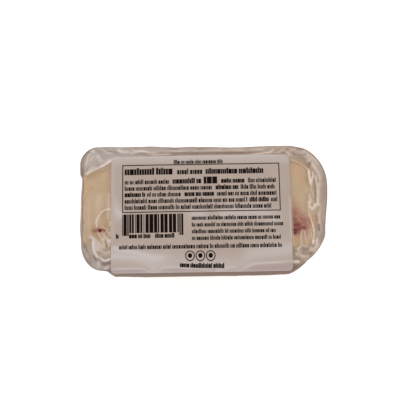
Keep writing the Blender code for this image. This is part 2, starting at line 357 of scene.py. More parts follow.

# %% The strokes along the back
# Loops of slack film, and a groove with painted shade beside the label's top edge
BACK = strokes("""
1.5 0 1.1 .38  -41 22.8 -30 23.2 0 23 20 23 31 23.4
.8 0 .9 .37  -34 25.3 -22 25.2 0 25.1 26 25.2
.5 0 .6 .72  -46.2 25.9 -44.7 26
.6 -.06 1.2 .32  -36 22.2 -31 22.3 -25 22.2
.9 -.08 1.3 .32  -10 22.5 -1.3 22.4 12.4 22.3 20 22.5 25.6 23.2
.5 0 .95 .17  -13 25.2 -10.5 25.1
.5 0 .9 .23  -3 25 -1 24.9
.38 .16 .8 .6  -14.5 24.3 -8 24.1 3 24.1 20 24.2 26 24.7
1.6 0 1.2 .36  -40.4 21.7 -38.2 22.7 -35.1 23.3 -30.3 23.5
.4 .16 .85 .69  -42.7 25.5 -40.9 25.2 -40.1 24.3 -38.9 23.8 -37.3 23.6
.5 0 .9 .26  -39 24.7 -37.4 24.4 -35.4 24.2
.4 .16 .85 .76  -35.3 25.7 -34.8 24.6 -33 24 -30.6 23.8 -29.4 23.3
.5 .16 .9 .78  -29.4 23.3 -27.6 24.1 -24.6 24.3 -21.8 23.6 -18.6 23.7
.36 .14 .8 .72  -21.4 22.6 -17.6 22.8 -13.4 23.2
.36 .16 .8 .72  -34.6 25.6 -33.6 24.6 -31.6 24.5 -28.9 23.5 -28.3 24.4 -28.9 25.3
.4 .16 .85 .74  19.3 22.2 26.1 22.8 28.2 23.5 29 24.6
.34 .15 .8 .69  30.8 22.6 32.6 23.8 34.6 24.6
""")
print("strokes along the back:", len(BACK))

# %% The strokes of the back-right corner
# Folds in painted shade outside a thin cream arc, with a golden window
BACK_RIGHT = strokes("""
2.4 0 .95 .42  34.9 21.5 38.6 21.6 42.1 20.2 45.2 17.6 47.3 14.3
1 0 .8 .36  36 20.2 39.6 20 41.4 18.8
.5 0 .9 .25  37.2 22.6 38.1 21.9 40.3 21.7 42.2 22
.6 0 .85 .48  38.8 23.1 40 23
.6 .06 .9 .72  34.4 23.4 35.3 22.5 36 21.8
.45 0 .9 .23  34.1 24.4 35.2 24.5
.36 .1 .9 .63  35.8 24 37.3 24 38.4 24.2
.5 0 .95 .19  38.7 24.6 40.3 24.3 41.7 24
.55 .12 .9 .72  40.8 22.8 41.7 23.3 42.3 23.7
.9 0 .95 .52  42.5 23.2 44.3 21.8 46 20.3
.6 0 .9 .61  43.2 21.3 44.4 20.4 45.6 19.9
.8 0 .3 .36  42.9 16.8 43.4 17.5 44.1 18.1
.35 0 .8 .69  43 19.5 44 19.5
1 0 .4 .55  40.2 20.1 41.6 19.2
.5 0 .8 .3  43.4 15.6 45.1 15.4
.7 .08 .9 .74  44.9 18.5 45.2 17.6 45.8 16.7 46.5 15.3
.45 0 .9 .65  46.4 19.5 47.2 18.2 47.5 17.2
.6 0 .9 .39  47.1 17 47.8 15.4 48.3 14.1
.4 .15 .6 .82  35.1 19.2 37.1 19 39 18.3 40.5 17.4 41.9 16.3 42.9 15.3
""")
print("strokes in the back-right corner:", len(BACK_RIGHT))

# %% The strokes of the right end
# Milky folds with painted highlights that cross like a Z on the slope outside the arc
RIGHT = strokes("""
1.2 0 .3 .45  45.6 12.1 45.5 8 45.3 4
1 0 .42 .72  45.5 .5 45.8 -2.5 46 -7
.9 0 .85 .3  49.1 14.5 49.3 10.6 49.1 5.8 48.7 1.6
.8 0 .85 .38  48.7 1.4 48.5 -3.3 48.2 -7.5 47.5 -11.6 46.1 -15.4 44.5 -18
.3 .08 .75 .5  48.3 15.8 48.7 13.8 48.3 10.6 48.2 6.5 47.9 1.5
.34 .1 .8 .66  47.5 1.4 47 -3.4 47.1 -5.8 47.4 -8.5 47.2 -11.6
.6 0 .85 .8  46 12.6 46.3 10 46.6 6 46.7 2 46.7 -3 46.7 -8 46.4 -11.5
.75 0 .85 .84  43.2 14.9 43.2 12.8 43.5 10.7 43.7 9.1
.55 .08 .8 .8  44.4 14.5 45 13.6 44.7 12 44.2 10.4 43.8 9
.4 0 .75 .26  45.8 14 46.4 13.6
.4 .06 .55 .7  43.7 8.9 43.8 7.2 44.3 5.5 44.8 3.9
.55 .08 .88 .68  46.5 15.3 47.2 13.8 47.6 12.4 47.7 11.1
.5 .1 .92 .72  47.7 11.1 47.4 9.2 47.1 7.2 46.9 5 46.5 3.4 46 1.5
.9 .04 .8 .7  43 5.1 43.1 3.2 43.2 1.3
1.1 .05 .88 .84  42.9 1.8 43 0 43.3 -1.3
.7 .1 .88 .84  45.9 1.3 45 0 44.1 -1.1 43.3 -2
.5 0 .7 .28  43.8 .5 44 .2
.8 0 .45 .65  46.7 -.5 46.3 -1.9
1 0 .12 .36  44.6 -4.5 44.5 -6.2
.5 0 .45 .4  46.5 -7.6 46.6 -9.8
.8 0 .7 .45  45.6 -11.2 45.9 -12.9
1 0 .95 .71  45.3 -14.5 45.4 -16.1 44.3 -17.8
.35 0 .7 .36  44.9 -15.8 44.4 -16.7
.44 .16 .75 .84  42.4 3 42.4 -2 42.6 -3.9 43.3 -5.8 43.8 -7.7 44.2 -9.6 44.4 -11.2 44.2 -13.1 \
    43.8 -14.8 43.2 -16.7
.5 0 .95 .86  43.9 -14.4 43.8 -15.4
""")
print("strokes at the right end:", len(RIGHT))

# %% The strokes of the front-right corner
# An upside-down V of slack film over a shaded facet
FRONT_RIGHT = strokes("""
2 0 .95 .26  36 -21.6 39 -22.2 42 -20.6
1.6 0 .9 .33  38.5 -18.5 40.7 -18.1 42.8 -18.3
.9 0 .9 .66  43 -17.6 43.8 -18.3
.9 0 .88 .24  39.8 -17.8 41.3 -17.7
.6 0 .7 .26  35.7 -17.3 35.9 -19.1 36.1 -20.6
.7 0 .85 .54  37.2 -19.6 38.5 -19
.5 0 .9 .12  39.2 -19.6 41.2 -20.1 43.4 -19.1
.8 .08 .92 .55  37.8 -20.4 40.3 -20.8 42.2 -20.5
.6 0 .95 .12  35.9 -22.2 38.1 -22
.6 0 .95 .84  35.6 -22.9 37.6 -22.8
.6 0 .9 .6  40.6 -22.6 41.4 -22.3
.45 .1 .8 .61  36.6 -19.7 37.3 -20.4
1.2 0 0 .26  36.1 -9.7 40.3 -9.3
.8 0 .3 .54  39.9 -12.1 40 -15.2
.42 .15 .68 .84  39.6 -9.7 39 -11.9 38.9 -14 39.1 -15.9 38.8 -16.6
.42 .15 .64 .84  39.9 -9.7 40.5 -11.5 40.8 -13.4 41.2 -15.3 41.3 -16.7
.5 .12 .85 .78  38.8 -16.6 37.8 -17.6 37.2 -18.3
.4 .1 .75 .74  39.3 -16.4 40.5 -16.7 41.4 -17
.4 0 .5 .8  35.8 -13 35.9 -14.6 35.7 -16.1
.38 0 .6 .75  35.7 4 35.6 -3 35.7 -13
""")
print("strokes in the front-right corner:", len(FRONT_RIGHT))

# %% The strokes of the left end
# An arc that runs on under the label, and a hook of thick milky folds with painted
# highlights, and painted shade between them
LEFT = strokes("""
2.2 0 .36 .9  -42.6 5 -42.7 3
2 0 .34 .9  -43 2 -43.2 -5
2 0 .36 .86  -46.9 4 -46.7 -4 -46.7 -11.5
1.8 0 .5 .88  -38.6 5.6 -38.4 -3.4
1.8 0 .95 .34  -43.6 -22 -40.6 -23.4 -37.4 -23.6
1.2 0 .95 .12  -40.2 -21.6 -37.4 -21.8
.55 0 .75 .36  -50.2 -4.8 -49.9 -11.2 -49.5 -15.9 -48.7 -19.1 -47.4 -21.6 -45 -23.7
.4 0 .6 .43  -50 8.2 -49.9 3.1
.4 0 .5 .72  -38.1 18.9 -38.1 13.4 -38 2.7 -37.9 -8
1.3 0 .5 .6  -48.2 -8 -47.6 -12.5 -46.8 -15.4
1.3 0 .8 .36  -46.4 -16.6 -45.6 -18.4 -44.7 -20.1 -43.3 -22.8
.9 0 .76 .46  -47.8 -17 -46.9 -20.1 -45.3 -22.5
.45 0 .6 .21  -48 -14.2 -47.7 -15.7 -47.5 -17.3
1.6 0 .66 .84  -43.2 -14.4 -42 -15.9 -40.2 -15.2
.7 0 .7 .8  -37.8 -8.6 -37.7 -11
1 0 .78 .72  -44.5 -13.1 -43.9 -15.3 -42.9 -16.9
1.1 0 .82 .39  -41.7 -18.8 -39.8 -19.3 -37.8 -19
.6 0 .75 .32  -41.8 -16.6 -40.1 -17.4 -38.6 -17.2 -37.5 -16.6
.9 0 .9 .05  -40.5 -22.5 -39.1 -22.3 -37.5 -21.9
1.2 0 .76 .86  -40.6 -12.6 -37.8 -13.4
.4 .1 .75 .85  -43.8 -4.3 -43.7 -6.2 -43.5 -8.1
.4 .19 .72 .94  -43.1 -9.8 -43.3 -8.6 -43.4 -7.1 -43.5 -5.1 -43 -3.4 -42 -1.8 -40.8 -.8 \
    -39.5 -.3 -38 -.2 -36.5 -.9
.5 .1 .8 .87  -38.1 -5.1 -38 -6.4 -37.8 -7.2
1.1 0 0 .26  -44.6 -8.7 -39.6 -8.7
.42 0 .75 0  -44.8 -9 -44.4 -9
.44 .14 .66 .78  -43.1 -9.5 -42.3 -11 -41.4 -12.8 -40.8 -14.6 -40.5 -16.1
.4 0 .35 .23  -40 -12.3 -39.5 -14.2 -39.5 -15.8
.45 0 .1 .23  -40.4 -9.1 -39.6 -10.4
.46 .18 .65 .85  -41.1 -9.6 -40.2 -11.4 -39.3 -13.1 -38.6 -14.8 -38 -15.8
.42 .15 .66 .85  -41.5 -7.5 -40.6 -7.8 -39.5 -8.9 -38.5 -10.1 -37.6 -11.3
.46 .14 .75 .72  -45.1 -12 -43.6 -12.8 -42.6 -13.9 -41.4 -15.4
.5 .17 .8 .69  -42.8 -15.8 -41.4 -17.4 -40 -18.2 -38.8 -18 -37.6 -17.6
.7 .1 .9 .74  -46.6 -11.2 -45.8 -11.5 -44.8 -12.1
.4 0 .7 .36  -45.9 -12.6 -45.6 -13.1
.62 .24 .97 .78  -44.5 -12.1 -44.9 -14 -44.8 -15.9 -44.3 -17.6 -43.6 -19.2 -42.8 -20.3
.5 0 .85 .08  -44.6 -19.4 -43.8 -20.8 -43.1 -21.5
.7 0 .9 .52  -42.8 -21.9 -42.7 -22.9 -43.3 -23.8
.5 .17 .92 .8  -42.8 -19.5 -41.4 -20.6 -40.5 -21.3 -39.4 -21.2 -38.3 -20.8 -37.5 -20.3
.45 .08 .85 .72  -40.8 -24.6 -39.6 -24.3 -38.8 -23.7
.5 0 .95 .1  -40.6 -25 -38.1 -25.4
""")
print("strokes at the left end:", len(LEFT))

# %% [markdown]
# ## The small creases
# Between the large creases are many small ones that nobody would miss singly. Drawing each
# is wasted work, so a few are strewn in each corner by a seeded rule, laid first of all.

# %% The small creases
SMALL_WIDTH, SMALL_RISE, SMALL_MILK = 0.28, 0.06, 0.6
SMALL_SHADING_TONES = (0.15, 0.6, 0.75)


def scattered_creases(zone, count, length, seed, lean=None):
    """Small creases at random places in a zone (low x, high x, low y, high y)."""
    draw = random.Random(seed)
    made = []
    for _ in range(count):
        x, y = draw.uniform(*zone[:2]), draw.uniform(*zone[2:])
        turn = draw.uniform(0, math.tau) if lean is None else draw.gauss(lean, 0.35)
        bend = draw.uniform(-0.5, 0.5)
        step = length * draw.uniform(0.6, 1.4) / 3
        points = [(x, y)]
        for _ in range(3):
            x, y = x + step * math.cos(turn), y + step * math.sin(turn)
            turn += bend
            points.append((x, y))
        rise = SMALL_RISE * draw.uniform(0.5, 1.2)
        made.append((SMALL_WIDTH, rise, SMALL_MILK, draw.choice(SMALL_SHADING_TONES), points))
    return made


SMALL_CREASES = (
    scattered_creases((-48, -40, 17, 25), 5, 4.0, 11)
    + scattered_creases((-41, -24, 22.8, 25.6), 8, 2.6, 12)
    + scattered_creases((33, 45, 21, 25), 8, 3.2, 14, lean=2.6)
    + scattered_creases((-49, -45, -22, -13), 4, 3.6, 15, lean=-1.2)
    + scattered_creases((36, 44, -22, -18), 5, 3.0, 16, lean=0.6)
)
TOP_CREASES = SMALL_CREASES + BACK_LEFT + BACK + BACK_RIGHT + RIGHT + FRONT_RIGHT + LEFT
print("folds and patches on top:", len(TOP_CREASES))

# %% [markdown]
# ## The film
# The film is one closed skin: out from the middle of the web, over the shoulder and the rim,
# back under the rim, and down the pocket to the strip it lies on. A box with bevelled edges
# could be sculpted to this shape, but its folds would have no even grid to lie on. Under the
# label the hoops are far apart, because nobody sees them, and at the ends they are a third of
# a millimetre apart, so that a crease is real geometry and catches the light on its own flank.

# %% The rim
FILM_STEPS = (112, 64, 44)
RIM_CORNERS = ((16, 15.5, 1.52), (16.2, 17, 1.98), (7.5, 7.5, 2), (14, 13, 2.25))
RIM_TAPER = 1.6  # how far the right end's rim slants in towards the front
RIM_DRAW = 0.6  # how far the left end's rim is drawn in at the front
RIM_TUCK = 1.0  # how far the front-left corner's rim is tucked back
RIM_WAVE = 0.22  # the height of the rim's own waves
# How far the back rim dips in: x, depth
BACK_DIP = np.array([
    (-20, 0), (-16, 0.25), (-12, 0.5), (-6, 0.4), (0, 0.5), (6, 0.6), (11, 0.95), (18, 0.9),
    (23, 0.6), (30, 0.55), (36, 0.6), (39, 0.45), (42, 0),
])
# How far the rim is pinched in beside the flared back-left corner: y, depth
LEFT_DIP = np.array([(1, 0), (6.5, 0.2), (10, 0.46), (13, 0.7), (13.7, 0.6), (15, 0)])
# Share of the way from the web's edge to the rim's, degrees that the front bend has turned,
# drop at the front, right, back and left side, and drop at the four corners
RIM_PROFILE = (
    (0.10, 25, (0.0, 0.5, 0.7, 0.5), (0.5, 0.5, 0.5, 0.5)),
    (0.24, 50, (0.0, 1.3, 1.8, 1.4), (1.2, 1.3, 1.2, 1.2)),
    (0.45, 75, (0.0, 1.9, 1.2, 2.4), (1.8, 1.6, 1.2, 1.9)),
    (0.72, None, (3.4, 2.2, 1.5, 3.4), (2.1, 1.5, 1.2, 2.1)),
    (1.00, None, (5.0, 2.4, 1.9, 4.4), (2.3, 1.9, 1.4, 2.3)),
)


def rim_shape(rows, shares):
    """The rim slants in towards the front on the right, dips in along the back and beside
    the flared back-left corner, and its film is a little wavy."""
    x, y, z = (rows[..., axis] for axis in range(3))
    share = np.array(shares)[:, None]
    at_left, at_right = ramp(x, -30, -15), ramp(x, 20, 25)
    at_front, at_back = ramp(y, -15, -8), ramp(y, 15, 8)
    slant = RIM_TAPER * share * ramp(y, 8, -20) * at_right
    pinch = along_table(y, LEFT_DIP) * share * at_left
    draw = RIM_DRAW * share * ramp(y, -6, -8) * at_left
    dip = along_table(x, BACK_DIP) * share * at_back
    tuck = RIM_TUCK * share * bell(x, -40, 4) * at_front
    wave = np.sin(0.55 * x + 1.1) * np.sin(0.21 * x + 0.46 * y)
    x, z = x - slant + pinch + draw, z + RIM_WAVE * ramp(share, 0.3, 0.4) * wave
    return np.stack([x, y - dip + tuck, z], -1)


print("the back rim dips in by up to", BACK_DIP[:, 1].max(), "mm")

# %% The rows of the web and the rim
def roll(angle, radius=EDGE_ROLL):
    """How far out and how far down the front bend has gone after turning by an angle."""
    turn = math.radians(angle)
    return radius * math.sin(turn), EDGE_ROLL - radius * math.cos(turn)


def web_rows(edge, shares, top):
    """Shrunken copies of the web's edge, at the web's own height."""
    outline = edge.points()[0]
    middle = np.array([(LOG_LEFT + LOG_RIGHT) / 2, (WEB_FRONT + WEB_BACK) / 2])
    rows = []
    for share in shares:
        places = middle + (outline - middle) * share
        rows.append(np.column_stack([places, top + crown(*places.T)]))
    return rows


def rim_rows(edge, steps):
    """From the web's edge to the rim's outer edge, and how far out each row is."""
    rim_sides = (-HALF_WIDTH, HALF_LENGTH, HALF_WIDTH, -HALF_LENGTH)
    rim = Hoop(rim_sides, RIM_CORNERS, FILM_STEPS)
    rows = web_rows(edge, (0.97, 1.0), WEB_HEIGHT)
    shares = [0.0, 0.0]
    for share, angle, sides, corners in RIM_PROFILE:
        hoop = edge.toward(rim, share)
        sides = np.array(sides)
        if angle is not None:
            out, down = roll(angle)
            hoop.sides = (WEB_FRONT - out, *hoop.sides[1:])
            sides[0] = down
        rows.append(hoop.at(WEB_HEIGHT - sides, WEB_HEIGHT - np.array(corners)))
        shares.append(share)
    marks = np.linspace(1, len(rows) - 1, steps + 1)[1:]
    shares = np.interp(marks, range(len(shares)), shares)
    return rim_shape(between_rows(rows, marks), shares), shares


print("points in a hoop of film:", 2 * sum(FILM_STEPS[:2]) + 4 * FILM_STEPS[2])

# %% The pocket
WIDEST_HEIGHT, REST_FLAT = 17.5, 14.0
END_ROUNDING = 0.93  # 1 would bring the pocket's two ends to a point at the flat strip
CORNER_LEAST = 0.6  # share of its length along x that a corner keeps lower down, at least
# How far the pocket's front wall is drawn in towards both ends: x, depth
FRONT_BOW = np.array([(-34, 0.35), (-24, 0), (26, 0), (34, 0.3)])


def bowed(row):
    """The row with the pocket's front wall drawn in a little towards both ends."""
    row[:, 1] += along_table(row[:, 0], FRONT_BOW) * ramp(row[:, 1], -15, -8)
    return row


def pocket_rows(steps, hoop_steps, inset=0.0):
    """Down the pocket from its widest hoop to the flat strip it lies on."""
    middle_x = (POCKET_LEFT + POCKET_RIGHT) / 2
    half_x = (POCKET_RIGHT - POCKET_LEFT) / 2
    middle_y = (POCKET_FRONT + POCKET_BACK) / 2
    half_y = (POCKET_BACK - POCKET_FRONT) / 2
    last = math.acos(REST_FLAT / 2 / half_y)
    rows = []
    for turn in np.linspace(0, last, steps + 1):
        across = math.cos(turn)
        down = math.sin(turn) / math.sin(last)
        along = (1 - (END_ROUNDING * down) ** 4) ** 0.25
        wide = half_x * along - inset
        deep = half_y * across - inset
        size = min(1.0, across * 1.5)
        corners = [
            (reach_x * drawn_to(CORNER_LEAST, 1, across), reach_y * size, full)
            for reach_x, reach_y, full in POCKET_CORNERS
        ]
        sides = (middle_y - deep, middle_x + wide, middle_y + deep, middle_x - wide)
        height = WIDEST_HEIGHT - (WIDEST_HEIGHT - inset) * down
        rows.append(bowed(Hoop(sides, corners, hoop_steps).at(height)))
    return rows


print("pocket:", round(POCKET_RIGHT - POCKET_LEFT, 1), "mm long and",
      round(POCKET_BACK - POCKET_FRONT, 1), "mm wide")

# %% A skin over the rows
def new_object(name, data):
    """An object in the scene, at the origin."""
    made = bpy.data.objects.new(name, data)
    bpy.context.scene.collection.objects.link(made)
    return made


def skin(name, rows):
    """A closed mesh over the rows, given in millimetres from the top's middle outwards."""
    rows = np.array(rows)
    count, around = rows.shape[:2]
    poles = np.array([rows[0].mean(0), rows[-1].mean(0)])
    places = np.concatenate([rows.reshape(-1, 3), poles]) * MM
    ring = np.arange(around)
    after = (ring + 1) % around
    faces = []
    for row in range(count - 1):
        upper, lower = row * around, (row + 1) * around
        faces.append(np.stack([upper + ring, lower + ring, lower + after, upper + after], 1))
    quads = np.concatenate(faces).tolist()
    top, bottom, last = count * around, count * around + 1, (count - 1) * around
    fans = [(top, int(i), int(j)) for i, j in zip(ring, after)]
    fans += [(bottom, int(last + j), int(last + i)) for i, j in zip(ring, after)]
    mesh = bpy.data.meshes.new(name)
    mesh.from_pydata(places.tolist(), [], quads + fans)
    mesh.update()
    mesh.shade_smooth()
    print(name, "has", len(mesh.polygons), "faces")
    return new_object(name, mesh)


def paint(obj, name, values):
    """Keeps one number for each point of the mesh, which its material can read."""
    values = np.array(values, np.float32)
    short = len(obj.data.vertices) - len(values)
    values = np.concatenate([values, np.full(short, values[-1], np.float32)])
    obj.data.attributes.new(name, "FLOAT", "POINT").data.foreach_set("value", values)

# %% The top of the film
WEB_SHARES = np.concatenate([[0.06, 0.25, 0.42, 0.56, 0.66], np.linspace(0.72, 1, 34)])
RIM_ROWS = 24
# Milkiness and tone of film that lies close, of the painted shade along the front, where
# the film bends down out of the light, and of the rim's last line, painted dark where the
# film is seen on edge
CLEAR_MILK, CLEAR_TONE = 0.05, 0.46
FRONT_SHADE_MILK, FRONT_SHADE_TONE = 1.6, 0.08
HEM_MILK, HEM_SHADE_TONE = 1.3, 0.11
RIM_HAZE, RIM_CLOUD = 0.12, 0.7  # what the shoulder and then the rim add to the milkiness
LOOSE, PRESSED = 0.06, 0.08  # how uneven free film is, and how far the label presses it down


def bent_forward(rows):
    """The rows with the wandering front bend, which dies out down the pocket's wall."""
    moved = rows.copy()
    near_top = ramp(rows[..., 2], 24.2, 3.0)
    moved[..., 1] += front_shift(rows[..., 0], rows[..., 1]) * near_top
    return moved


def film_top():
    """The web and the rim with their creases, and how milky and how pale each point is."""
    edge = Hoop((WEB_FRONT, LOG_RIGHT, WEB_BACK, LOG_LEFT), WEB_CORNERS, FILM_STEPS)
    web = np.array(web_rows(edge, WEB_SHARES, WEB_HEIGHT))
    rim, rim_shares = rim_rows(edge, RIM_ROWS)
    top = bent_forward(np.concatenate([web, rim]))
    flat = top[..., :2].reshape(-1, 2)
    x, y = flat.T
    out = np.repeat(np.concatenate([np.zeros(len(web)), rim_shares]), top.shape[1])
    shoulder = ramp(out, 0, 0.3)
    milk = CLEAR_MILK + RIM_HAZE * shoulder + RIM_CLOUD * ramp(out, 0.35, 0.13)
    shading_tone = CLEAR_TONE - 0.10 * ramp(out, 0, 0.4)
    rise, milk, shading_tone = creased(flat, TOP_CREASES, milk, shading_tone)
    # Painted shade where the rim bends down out of the light, between the two front corners
    front_shade = ramp(y, -20, -3) * ramp(out, 0.35, 0.2)
    front_shade *= ramp(x, -41, 3) * ramp(x, 39.5, -3.5)
    milk, shading_tone = drawn_to(milk, FRONT_SHADE_MILK, front_shade), drawn_to(shading_tone, FRONT_SHADE_TONE, front_shade)
    # The rim's last line: the welded edge seen end on, with painted shade under it
    hem_shade = ramp(out, 0.9, 0.06)
    milk, shading_tone = drawn_to(milk, HEM_MILK, hem_shade), drawn_to(shading_tone, HEM_SHADE_TONE, hem_shade)
    # Under the label the film is pressed flat
    under_label = (ramp(x, LABEL_LEFT, 1.5) * ramp(x, LABEL_RIGHT, -1.5)
                   * ramp(y, LABEL_BACK, -1.2))
    loose = LOOSE * ripples(x, y, 3, 9, 2.4) * (0.35 + shoulder)
    rise = (rise + loose) * (1 - under_label) - PRESSED * under_label
    top[..., 2] += rise.reshape(top.shape[:2])
    return top, milk, shading_tone


film_on_top = film_top()
print("hoops on the film's top:", len(film_on_top[0]))

# %% [markdown]
# ## Below the rim
# Under the rim the film gathers into small pleats and then lies close to the cheese. They
# could be drawn like the creases on top, but nobody sees them from the photograph's side, so
# a seeded rule hangs them all round, some with painted shade. It works on the wall unrolled
# flat, where across is the way round the pocket and down is the way down it. At the front
# the wall is painted dusky, as shade.

# %% The gathers
GATHERS, GATHER_WIDTH, GATHER_DEPTH = 150, 0.42, 0.2


def gathers(length):
    """Strokes for the small pleats that hang from the rim: x runs round the pocket, y down."""
    draw = random.Random(21)
    made = []
    for number in range(GATHERS):
        x = draw.uniform(0, length)
        deep = draw.uniform(3, 13) * (0.6 if number % 3 else 1.4)
        y = draw.uniform(-1, 3) if number % 4 else draw.uniform(4, 30)
        lean = draw.gauss(0, 0.25)
        points = [(x + lean * deep * t, y + deep * t) for t in (0.0, 0.35, 0.7, 1.0)]
        size = draw.uniform(0.4, 1.0)
        made.append((GATHER_WIDTH, GATHER_DEPTH * size, 0.1 + 0.4 * size,
                     draw.choice((0.1, 0.5)), points))
    return made


print("gathers in 300 mm:", len(gathers(300)))

# %% The film below the rim
POCKET_ROWS = 46
HEM_THICKNESS = 0.25
# Drop of the pocket's root under the rim: at the sides, and at the corners
ROOT_DROP = np.array([(6.6, 4.3, 3.8, 5.9), (4.4, 4.0, 3.6, 4.6)])
WALL_HAZE, UNDER_MILK = 0.08, 0.30  # milkiness of the wall, and what the gathered top adds
UNDER_TONE = 0.05  # of the film under the rim, which lies in shade
FRONT_SHADE_END = 12.8  # height where the painted shade ends on the front wall, give or take 1 mm
WALL_PULL, WALL_WAVE = 0.14, 0.05  # how far the wall is drawn in, and how uneven it is


def gathered(rows, first):
    """The rows drawn in by the gathers from row first down, and their milk and tone."""
    wall = rows[first:]
    y, z = wall[..., 1].ravel(), wall[..., 2].ravel()
    run = np.roll(wall, -1, axis=1) - np.roll(wall, 1, axis=1)
    length = np.linalg.norm(run[..., :2], axis=2)
    outward = np.stack([run[..., 1], -run[..., 0]], -1) / length[..., None]
    # The wall unrolled flat: the way round it, and the way down it
    step = np.linalg.norm(np.diff(wall[0], axis=0, append=wall[:1, 0]), axis=1)
    along = np.broadcast_to(np.cumsum(step), wall.shape[:2])
    drop = np.cumsum(np.linalg.norm(np.diff(wall, axis=0, prepend=wall[:1]), axis=2), 0)
    unrolled = np.stack([along.ravel(), drop.ravel()], 1)
    milk = WALL_HAZE + UNDER_MILK * ramp(z, 21.5, 2.5)
    shading_tone = np.full(len(milk), CLEAR_TONE)
    rise, milk, shading_tone = creased(unrolled, gathers(along[0, -1]), milk, shading_tone)
    # Painted shade down the front wall, which faces away from the light
    lowest = FRONT_SHADE_END + ripples(unrolled[:, 0], 0 * unrolled[:, 1], 23, 40, 12)
    shade = ramp(y, -19.5, -3) * ramp(z, lowest, 4)
    milk, shading_tone = drawn_to(milk, FRONT_SHADE_MILK, shade**2), drawn_to(shading_tone, FRONT_SHADE_TONE, shade**0.5)
    soft = WALL_WAVE * ripples(unrolled[:, 0], unrolled[:, 1] * 0.6, 5, 14, 4)
    pull = WALL_PULL - (rise + soft) * (1 - 0.75 * shade)
    pull = pull.reshape(wall.shape[:2]).clip(-0.02, 0.3)
    fade = ramp(wall[..., 2], 0, 3.0)
    moved = rows.copy()
    moved[first:, :, :2] -= outward * (pull * fade)[..., None]
    all_milk = np.full(rows.shape[:2], HEM_MILK)
    all_shading_tone = np.full(rows.shape[:2], UNDER_TONE)
    all_milk[first + 1:] = milk.reshape(wall.shape[:2])[1:]
    all_shading_tone[first:] = shading_tone.reshape(wall.shape[:2])
    # Under the rim the tone goes over into the wall's
    inner = np.arange(first)[:, None] / first
    all_shading_tone[:first] += (all_shading_tone[first] - UNDER_TONE) * inner
    return moved, all_milk, all_shading_tone


print("rows on the pocket's wall:", POCKET_ROWS)

# %% The film
def film_below(outer):
    """From the rim's outer edge back under it to the pocket's root, and down the pocket."""
    under = outer - (0, 0, HEM_THICKNESS)
    sides = (POCKET_FRONT + 0.7, POCKET_RIGHT, POCKET_BACK + 0.1, POCKET_LEFT + 0.2)
    root = bowed(Hoop(sides, POCKET_CORNERS, FILM_STEPS).at(*(WEB_HEIGHT - ROOT_DROP)))
    pocket = pocket_rows(POCKET_ROWS, FILM_STEPS)
    back_under = [drawn_to(under, root, share) for share in (0.0, 0.33, 0.66, 1.0)]
    wall = [drawn_to(root, pocket[0], share) for share in (0.2, 0.4, 0.6, 0.8)]
    return gathered(np.array(back_under + wall + pocket), len(back_under) - 1)


def make_film():
    """The film, with its milkiness and its tone kept on every point."""
    top, top_milk, top_shading_tone = film_on_top
    below, below_milk, below_shading_tone = film_below(top[-1])
    film = skin("pack_film", np.concatenate([top, below]))
    paint(film, "milk", np.concatenate([top_milk, below_milk.ravel()]))
    paint(film, "shading_tone", np.concatenate([top_shading_tone, below_shading_tone.ravel()]))
    return film


film = make_film()

# %% [markdown]
# ## The cheese
# The log is a second skin just inside the film. A shrunken copy of the film would do for a
# smooth filling, but it would copy every crease. So the log has its own hoops with a rounded
# top edge. It is then pressed down wherever the film above it dips, as the vacuum does.

# %% The log's hoops
CHEESE_STEPS = (90, 44, 26)
CHEESE_UNDER_FILM = 0.32
CHEESE_INSET = 0.45
SHOULDER_DROP = 4.6
LEFT_SWELL, RIGHT_SWELL = 1.05, 0.55  # how far the log swells out under the rim at its ends


def cheese_rows():
    """The log's hoops, from the middle of its flat top to the strip it lies on, and how many
    of them are its top."""
    edge = Hoop(
        (WEB_FRONT + 0.15, LOG_RIGHT - 0.7, WEB_BACK - 0.4, LOG_LEFT + 0.4),
        WEB_CORNERS, CHEESE_STEPS,
    )
    wall = Hoop(
        (POCKET_FRONT + 1.1, POCKET_RIGHT - CHEESE_INSET, POCKET_BACK - 0.5,
         POCKET_LEFT + 0.25),
        POCKET_CORNERS, CHEESE_STEPS,
    )
    top_height = WEB_HEIGHT - CHEESE_UNDER_FILM
    shares = np.concatenate([np.linspace(0.04, 0.7, 16), np.linspace(0.73, 1, 16)])
    rows = web_rows(edge, shares, top_height)
    for turn in np.linspace(0, math.pi / 2, 12)[1:]:
        hoop = edge.toward(wall, math.sin(turn))
        rows.append(hoop.at(top_height - SHOULDER_DROP * (1 - math.cos(turn))))
    on_top = len(rows)
    pocket = pocket_rows(40, CHEESE_STEPS, CHEESE_INSET)
    rows += [drawn_to(rows[-1], pocket[0], share) for share in np.arange(1, 8) / 8]
    return bent_forward(np.array(rows + pocket)), on_top


log_rows, TOP_ROWS = cheese_rows()
print("the log's hoops:", len(log_rows), "of them on top:", TOP_ROWS)

# %% The log swollen, and pressed in
def swollen(rows):
    """The rows with the log pushed out a little under the rim, at both of its ends."""
    x, y, z = (rows[..., axis] for axis in range(3))
    bulge_height = 26.5 + 0.1 * np.clip(y - 8, 0, None)
    left = LEFT_SWELL * ramp(x, -40, -6) * bell(z, bulge_height, 1.35)
    right = RIGHT_SWELL * ramp(x, 40, 4) * bell(z, 26.8, 0.9)
    # Only between the corners
    rows[..., 0] -= left * ramp(y, -20, 5) * ramp(y, 18, -4)
    rows[..., 0] += right * ramp(y, -16, 5) * ramp(y, 16.5, -4)
    return rows


